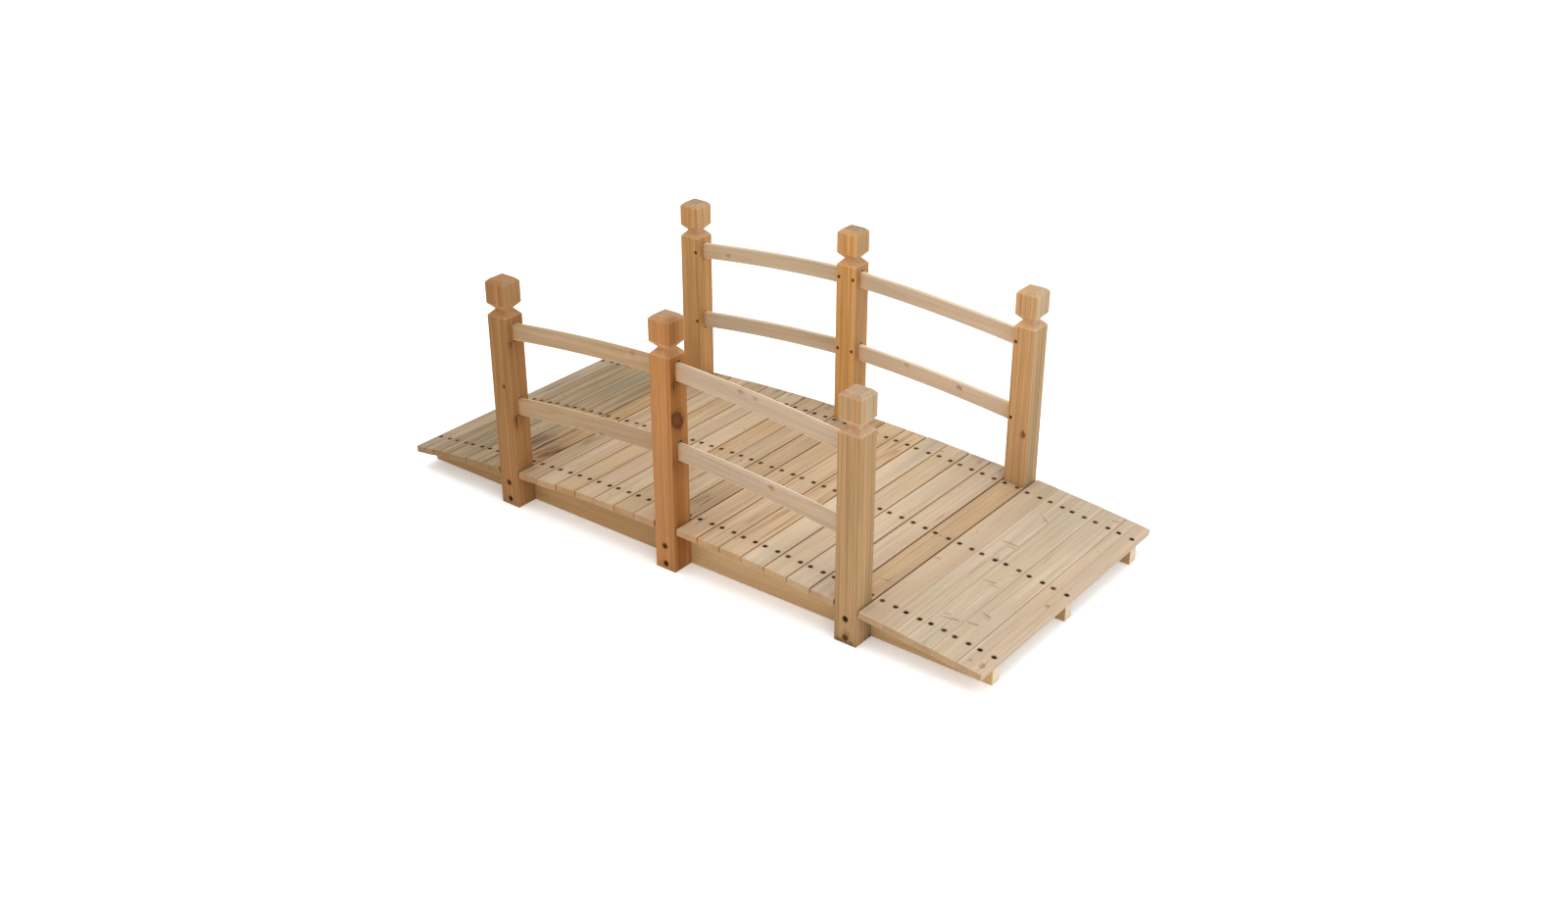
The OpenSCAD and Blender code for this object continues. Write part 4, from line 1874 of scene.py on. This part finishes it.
@dataclass
class Posts:
    """The six posts with their grooves, finials, mortises and screws."""

    rails: Rails
    shape: PostShape
    foot_screws: Pair = (0.014, 0.054)
    foot_reach: float = 0.0090
    rail_screw_inset: float = 0.0188
    rail_screw_reach: float = 0.0050
    mid_screws: Pair = (0.446, 0.276)
    end_screws: Pair = (0.409, 0.236)
    screw_depth: float = 0.0022
    line_pitch: float = 0.040
    line_clearance: float = 0.012
    side_lines: int = 2
    # Height over which a post's foot is darker towards the bottom
    damp_reach: float = 0.024
    # Length of each rail's painted shadow down a front post's right face, and the grid rows for it
    drip_reach: float = 0.050
    drip_lines: int = 7
    drip_first: float = 0.1
    foot_wander: float = 0.001
    # Painted light in the groove, which lies in shade under the finial
    groove_tint: Colour = (1.40, 1.28, 1.24)
    finial_tint: Colour = (1.04, 1.03, 1.04)
    # Painted light on the right face of the head
    head_flank: Colour = (1.03, 1.16, 1.38)
    timbers: dict[tuple[Side, Station], Timber] = field(default_factory=lambda: {
        (Side.FRONT, Station.LEFT): Timber(
            Tone.BROWN, (-0.03, 0.06), (Knot(0.286, 0.007, 0.0032, 1.4),),
            light=0.89, flank=(1.08, 1.13, 1.22),
        ),
        (Side.FRONT, Station.MID): Timber(
            Tone.RUSSET, (0.040, -0.014),
            (Knot(0.339, -0.0066, 0.0155, 1.8, axis=1, stretch=1.08, face=Face.RIGHT),),
            ends=Tone.ROSE, light=0.89, flank=(0.98, 0.97, 0.93),
        ),
        (Side.FRONT, Station.RIGHT): Timber(
            Tone.BISCUIT, (-0.15, 0.12), (Knot(0.019, 0.0, 0.008, 0.35, stretch=1.6),),
            damp=1.0, light=0.88, flank=(1.05, 1.12, 1.20),
        ),
        (Side.BACK, Station.LEFT): Timber(Tone.AMBER, (0.05, 0.05), ends=Tone.ASHEN, light=0.94),
        (Side.BACK, Station.MID): Timber(
            Tone.GOLDEN, (-0.02, 0.06), ends=Tone.ASHEN, light=1.04, flank=(0.69, 0.72, 0.81)
        ),
        (Side.BACK, Station.RIGHT): Timber(
            Tone.CREAM, (0.06, 0.07), (Knot(0.205, 0.012, 0.006, 0.8),),
            light=1.06, flank=(0.78, 0.87, 0.96),
        ),
    })

    def build(self, material: bpy.types.Material) -> list[Seat]:
        """Makes every post.

        Args:
            material: The posts' finish.

        Returns:
            The seats of the posts' screws.
        """
        seats = []
        for side in Side:
            for station in Station:
                seats += self.saw_post(side, station, material)
        return seats

    def bores(self, side: Side, station: Station, random: np.random.Generator) -> list[Bore]:
        """Screw holes of a post: two in its outer face's foot, and one beside each rail's end.

        Args:
            side: Front or back.
            station: Left, mid or right.
            random: The post's random numbers.

        Returns:
            The holes.
        """
        outer, inner = (Face.BELOW, Face.ABOVE) if side is Side.FRONT else (Face.ABOVE, Face.BELOW)
        wander = random.uniform(-self.foot_wander, self.foot_wander, (2, 2))
        holes = [
            Bore(outer, 0.0, height, self.foot_reach, self.screw_depth, tuple(shift))
            for height, shift in zip(self.foot_screws, wander)
        ]
        levels = self.mid_screws if station is Station.MID else self.end_screws
        holes += [
            Bore(inner, turn * self.rail_screw_inset, level, self.rail_screw_reach, self.screw_depth)
            for turn in station.rail_turns
            for level in levels
        ]
        return holes

    def saw_post(self, side: Side, station: Station, material: bpy.types.Material) -> list[Seat]:
        """Saws one post, with its holes and mortises.

        Args:
            side: Front or back.
            station: Left, mid or right.
            material: The posts' finish.

        Returns:
            The seats of its screws.
        """
        name = f"post_{side.word}_{station.word}"
        random = board_random(name)
        low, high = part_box(name)
        middle = (low + high) / 2.0
        half, ease = self.shape.width / 2.0, self.shape.ease
        faces = [Face.RIGHT if turn > 0 else Face.LEFT for turn in station.rail_turns]
        pockets = [self.rails.mortise(station, face, row) for face in faces for row in Row]
        bores = self.bores(side, station, random)
        section = Section(half, half, ease, self.face_lines(bores, pockets))
        stations = self.stations(bores, pockets, self.shape.shoulder(high.z))
        board = Board(section, Run.over(self.shape.outline(high.z), ease, stations))
        for bore in bores:
            board.press(bore)
        for pocket in pockets:
            board.cut(pocket)
        self.mark_post(board, self.timbers[side, station], high.z, random)
        # Painted shadow of each rail down a front post's right face
        for pocket in pockets:
            if pocket.face is Face.RIGHT and side is Side.FRONT:
                board.drip(pocket.face, pocket.along - pocket.half_height, self.drip_reach)

        def place(across: Array, along: Array) -> Array:
            """Stands the post on the ground at its place."""
            return np.stack([middle.x + across[..., 0], middle.y + across[..., 1], along], axis=-1)

        board.make(name, place, material, "post_wood")
        return [board.seat(bore, place) for bore in bores]

    def mark_post(self, board: Board, timber: Timber, top: float, random: np.random.Generator) -> None:
        """Gives a post its grain, knots and tints, with painted light in its groove and painted light and
        shade on its right face, and a foot darker towards the bottom.

        Args:
            board: The post.
            timber: What it is sawn from.
            top: Its height.
            random: Its random numbers.
        """
        shoulder = self.shape.shoulder(top)
        neck, above = shoulder + self.shape.groove_height, top + self.shape.width
        board.lay_grain(timber.pith, random.uniform(0.0, TRUNK))
        board.mark_knots(list(timber.knots))
        board.dye(timber.tone, timber.light, timber.ends)
        # Painted light in the groove
        board.bleach(shoulder, neck, self.groove_tint)
        board.bleach(neck, above, self.finial_tint)
        # Painted light and shade on the right face, and more painted light on the head's right face
        board.bleach(-self.shape.width, above, timber.flank, (Face.RIGHT,))
        board.bleach(shoulder, above, self.head_flank, (Face.RIGHT,))
        # Darker towards the bottom, most on the front right post
        board.soak(Blot(0.0, self.damp_reach, timber.damp))

    def face_lines(self, bores: list[Bore], pockets: list[Pocket]) -> dict[Face, Array]:
        """Grid lines up each face of a post, through its holes and its pockets' walls.

        Args:
            bores: The post's screw holes.
            pockets: Its mortises, in faces without holes.

        Returns:
            The lines of each face that has any.
        """
        spots = {}
        for bore in bores:
            spots.setdefault(bore.face, set()).add((bore.across, bore.reach))
        lines = {
            face: np.concatenate([patch_lines(*spot) for spot in sorted(places)])
            for face, places in spots.items()
        }
        for pocket in pockets:
            between = np.linspace(pocket.half_width, self.shape.width / 2.0, self.side_lines + 2)
            between = between[1:-1] + POCKET_LIP
            lines[pocket.face] = np.concatenate([-between, pocket_lines(0.0, pocket.half_width), between])
        return lines

    def stations(self, bores: list[Bore], pockets: list[Pocket], shoulder: float) -> Array:
        """Grid lines round a post's shaft, through its holes, its pockets' walls and the painted rail
        shadows under them.

        Args:
            bores: The post's screw holes.
            pockets: Its mortises.
            shoulder: Where the shaft ends.

        Returns:
            The heights of the lines.
        """
        holes = {(bore.along, bore.reach) for bore in bores}
        walls = {(pocket.along, pocket.half_height) for pocket in pockets}
        feet = np.array([along - half for along, half in sorted(walls)])
        # Rows for the painted rail shadows under each pocket
        runs = feet[:, None] - self.drip_reach * np.linspace(self.drip_first, 1.0, self.drip_lines)
        coarse = np.arange(self.line_pitch * 2.0, shoulder - self.line_pitch / 2, self.line_pitch)
        busy = np.array([hole[0] for hole in holes])
        coarse = coarse[np.abs(coarse[:, None] - busy).min(axis=1) > self.line_clearance]
        lines = [patch_lines(*hole) for hole in sorted(holes)]
        lines += [pocket_lines(*wall) for wall in sorted(walls)]
        return np.unique(np.concatenate([coarse, runs.ravel(), *lines]))


@dataclass
class Screws:
    """Screw heads with a cross recess, all of one kind in one joined mesh."""

    name: str
    seats: list[Seat]
    recess_half: float = 0.15
    recess_reach: float = 0.58
    recess_taper: float = 0.8
    recess_depth: float = 0.24
    rim_lift: float = 0.08
    skirt: float = 0.45
    stand: float = 0.27
    fill: float = 0.94

    def head(self) -> tuple[Array, Array]:
        """Points and faces of one closed head of radius one.

        Formula: one arm of the cross is three points, and quarter turns of it make an outline of
        twelve. The outline over its length is a circle. The circle under the skirt, the circle at the
        rim, the outline at the recess's edge and the smaller outline on its floor follow each other
        as rings, and five quads close the floor and the underside.

        Returns:
            The points, and the quads as point numbers.
        """
        half, reach = self.recess_half, self.recess_reach
        arm = np.array([[reach, -half], [reach, half], [half, half]])
        quarter = np.array([[0, 1], [-1, 0]])
        cross = np.concatenate([arm @ np.linalg.matrix_power(quarter, turn) for turn in range(4)])
        circle = cross / np.linalg.norm(cross, axis=1, keepdims=True)
        flat = np.stack([circle, circle, cross, cross * self.recess_taper])
        lift = np.array([-self.skirt, 0.0, self.rim_lift, self.rim_lift - self.recess_depth])
        lift = np.broadcast_to(lift[:, None, None], (*flat.shape[:2], 1))
        index = np.arange(lift.size).reshape(flat.shape[:2])
        beside = np.roll(index, -1, axis=1)
        walls = np.stack([index[:-1], beside[:-1], beside[1:], index[1:]], axis=-1).reshape(-1, 4)
        patch = np.array([[2, 5, 8, 11], [11, 0, 1, 2], [2, 3, 4, 5], [5, 6, 7, 8], [8, 9, 10, 11]])
        quads = np.concatenate([walls, index[-1][patch], index[0][patch][:, ::-1]])
        return np.concatenate([flat, lift], axis=-1).reshape(-1, 3), quads

    def build(self, material: bpy.types.Material) -> None:
        """Drives a head into each seat, turned by chance.

        Formula: a point is the seat's place plus the head's radius times x tangent + y bitangent +
        z normal. The head fills most of the hole and stands up from its floor.

        Args:
            material: The screws' finish.
        """
        random = board_random(self.name)
        shape, quads = self.head()
        count = len(self.seats)
        place = np.array([seat.place for seat in self.seats])
        normal = np.array([seat.normal for seat in self.seats])
        radius = np.array([seat.radius for seat in self.seats])[:, None, None]
        off_axis = np.abs(normal[:, 1:2]) < NEAR_AXIS
        helper = np.where(off_axis, [[0.0, 1.0, 0.0]], [[1.0, 0.0, 0.0]])
        first = np.cross(helper, normal)
        first /= np.linalg.norm(first, axis=1, keepdims=True)
        second = np.cross(normal, first)
        spin = random.uniform(0.0, math.pi / 2, (count, 1))
        tangent = np.cos(spin) * first + np.sin(spin) * second
        bitangent = np.cross(normal, tangent)
        axes = np.stack([tangent, bitangent, normal], axis=1)
        lifted = shape + np.array([0.0, 0.0, self.stand])
        points = place[:, None] + self.fill * radius * np.einsum("ij,njk->nik", lifted, axes)
        faces = (quads[None] + len(shape) * np.arange(count)[:, None, None]).reshape(-1, 4)
        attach(add_mesh(self.name, points, faces.tolist(), material), BODY)


@dataclass
class Studio:
    """Pale floor, soft lights and the camera at the photograph's angle."""

    image_width: int = 1600
    focal_pixels: float = 1704.48
    sensor: float = 36.0
    camera_place: Triple = (1.97893, -2.52584, 1.76676)
    yaw: float = 0.65279
    pitch: float = 0.4689
    roll: float = 0.00198
    floor_half: float = 14.0
    floor_drop: float = 0.0002
    sky: float = 0.80
    glow: float = 1.4
    glow_angle: float = 0.9
    glow_from: Triple = (-0.10, 0.08, 0.95)
    key_place: Triple = (2.9, -1.5, 2.1)
    key_target: Triple = (0.0, 0.0, 0.2)
    key_size: float = 2.2
    key_power: float = 32.0

    def build(self) -> None:
        """Sets up the floor, the lights, the world and the camera."""
        self.lay_floor()
        self.hang_key()
        self.hang_glow()
        self.set_world()
        self.set_camera()

    def lay_floor(self) -> None:
        """Lays the floor just under the bridge's feet."""
        span = np.array([-self.floor_half, self.floor_half])
        wide, long = np.meshgrid(span, span, indexing="ij")
        points = np.stack([wide, long, np.full_like(wide, -self.floor_drop)], axis=-1)
        floor = add_mesh("studio_floor", points, [[0, 2, 3, 1]], FloorFinish().material())

    @staticmethod
    def hang(light: bpy.types.Light, place: Vector, sight: Vector) -> None:
        """Hangs a light up.

        Args:
            light: The light.
            place: Where it hangs.
            sight: The direction that it faces.
        """
        lamp = bpy.data.objects.new(light.name, light)
        lamp.location = place
        lamp.rotation_euler = sight.to_track_quat("-Z", "Y").to_euler()
        bpy.context.scene.collection.objects.link(lamp)

    def hang_key(self) -> None:
        """Hangs a square softbox at the right that faces the bridge."""
        light = bpy.data.lights.new("key_softbox", "AREA")
        light.shape = "SQUARE"
        light.size = self.key_size
        light.energy = self.key_power
        place = Vector(self.key_place)
        self.hang(light, place, Vector(self.key_target) - place)

    def hang_glow(self) -> None:
        """Lights bridge and floor evenly from high up, through a wide and soft ceiling."""
        light = bpy.data.lights.new("ceiling_glow", "SUN")
        light.energy = self.glow
        light.angle = self.glow_angle
        place = Vector(self.glow_from)
        self.hang(light, place, -place)

    def set_world(self) -> None:
        """Lights the room evenly and shows colours as they are."""
        world = bpy.data.worlds.new("studio_room")
        world.use_nodes = True
        backdrop = world.node_tree.nodes["Background"]
        backdrop.inputs["Color"].default_value = (1.0, 1.0, 1.0, 1.0)
        backdrop.inputs["Strength"].default_value = self.sky
        bpy.context.scene.world = world
        bpy.context.scene.view_settings.view_transform = "Standard"

    def set_camera(self) -> None:
        """Sets the camera from its place, its turn and its focal length in pixels."""
        sight = Vector((
            -math.sin(self.yaw) * math.cos(self.pitch),
            math.cos(self.yaw) * math.cos(self.pitch),
            -math.sin(self.pitch),
        ))
        level = Vector((math.cos(self.yaw), math.sin(self.yaw), 0.0))
        upright = level.cross(sight)
        right = math.cos(self.roll) * level + math.sin(self.roll) * upright
        up = math.cos(self.roll) * upright - math.sin(self.roll) * level
        lens = bpy.data.cameras.new("photo_camera")
        lens.sensor_fit = "HORIZONTAL"
        lens.sensor_width = self.sensor
        lens.lens = self.focal_pixels / self.image_width * self.sensor
        camera = bpy.data.objects.new("photo_camera", lens)
        turn = Matrix((right, up, -sight)).transposed().to_4x4()
        camera.matrix_world = Matrix.Translation(self.camera_place) @ turn
        bpy.context.scene.collection.objects.link(camera)
        bpy.context.scene.camera = camera


DECK_PINE = WoodFinish(
    name="deck_pine",
    early=(0.49, 0.362, 0.238),
    late=(0.31, 0.172, 0.078),
    heart=(0.95, 0.86, 0.74),
    worn=(0.66, 0.55, 0.41),
    ring_width=0.0045,
    ring_depth=0.62,
    heart_reach=0.05,
    streaks=0.42,
    weathering=0.72,
    sawn_tint=(0.82, 0.55, 0.33),
    end_tint=(0.79, 0.65, 0.51),
    wear_share=0.6,
)
POST_FIR = WoodFinish(
    name="post_fir",
    early=(0.462, 0.262, 0.115),
    late=(0.29, 0.128, 0.042),
    heart=(0.64, 0.54, 0.40),
    worn=(0.62, 0.42, 0.24),
    ring_width=0.0046,
    ring_depth=0.9,
    heart_reach=0.034,
    streaks=1.0,
    weathering=0.1,
    knot_core=(0.085, 0.032, 0.013),
    knot_halo=(0.19, 0.070, 0.024),
    # Paler ends, partly painted light on the head's shaded slopes
    end_tint=(0.98, 1.11, 1.44),
)
RAIL_PINE = WoodFinish(
    name="rail_pine",
    early=(0.505, 0.368, 0.246),
    late=(0.36, 0.21, 0.108),
    heart=(0.96, 0.90, 0.82),
    worn=(0.70, 0.60, 0.455),
    ring_width=0.0052,
    ring_depth=0.45,
    heart_reach=0.035,
    streaks=0.32,
    weathering=0.15,
    wear_share=0.65,
)
STRINGER_PINE = WoodFinish(
    name="stringer_pine",
    early=(0.52, 0.36, 0.21),
    late=(0.33, 0.175, 0.075),
    heart=(0.95, 0.84, 0.70),
    worn=(0.64, 0.49, 0.33),
    ring_width=0.0055,
    ring_depth=0.55,
    heart_reach=0.05,
    streaks=0.35,
    weathering=0.2,
    # Pale ends: painted light from the lamp at the right
    end_tint=(1.2, 1.45, 1.9),
)


def main() -> None:
    """Builds the bridge's pieces in order, then the studio."""
    logging.basicConfig(level=logging.INFO, format="%(name)s: %(message)s")
    arch = Arch()
    rows = tuple(sum(corner.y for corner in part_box(f"stringer_{word}")) / 2.0 for word in Stringers.words)
    deck = Deck(arch, rows)
    deck_seats = deck.build(DECK_PINE.material())
    Stringers(arch, deck.thickness).build(STRINGER_PINE.material())
    shape = PostShape()
    shoulders = tuple(shape.shoulder(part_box(f"post_front_{station.word}")[1].z) for station in Station)
    spacing = sum(corner.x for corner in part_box("post_front_right")) / 2.0
    rails = Rails(spacing, shape.width, shoulders)
    rails.build(RAIL_PINE.material())
    post_seats = Posts(rails, shape).build(POST_FIR.material())
    steel = ScrewFinish().material()
    Screws("deck_screws", deck_seats).build(steel)
    Screws("post_screws", post_seats).build(steel)
    Studio().build()


if __name__ == "__main__":
    main()
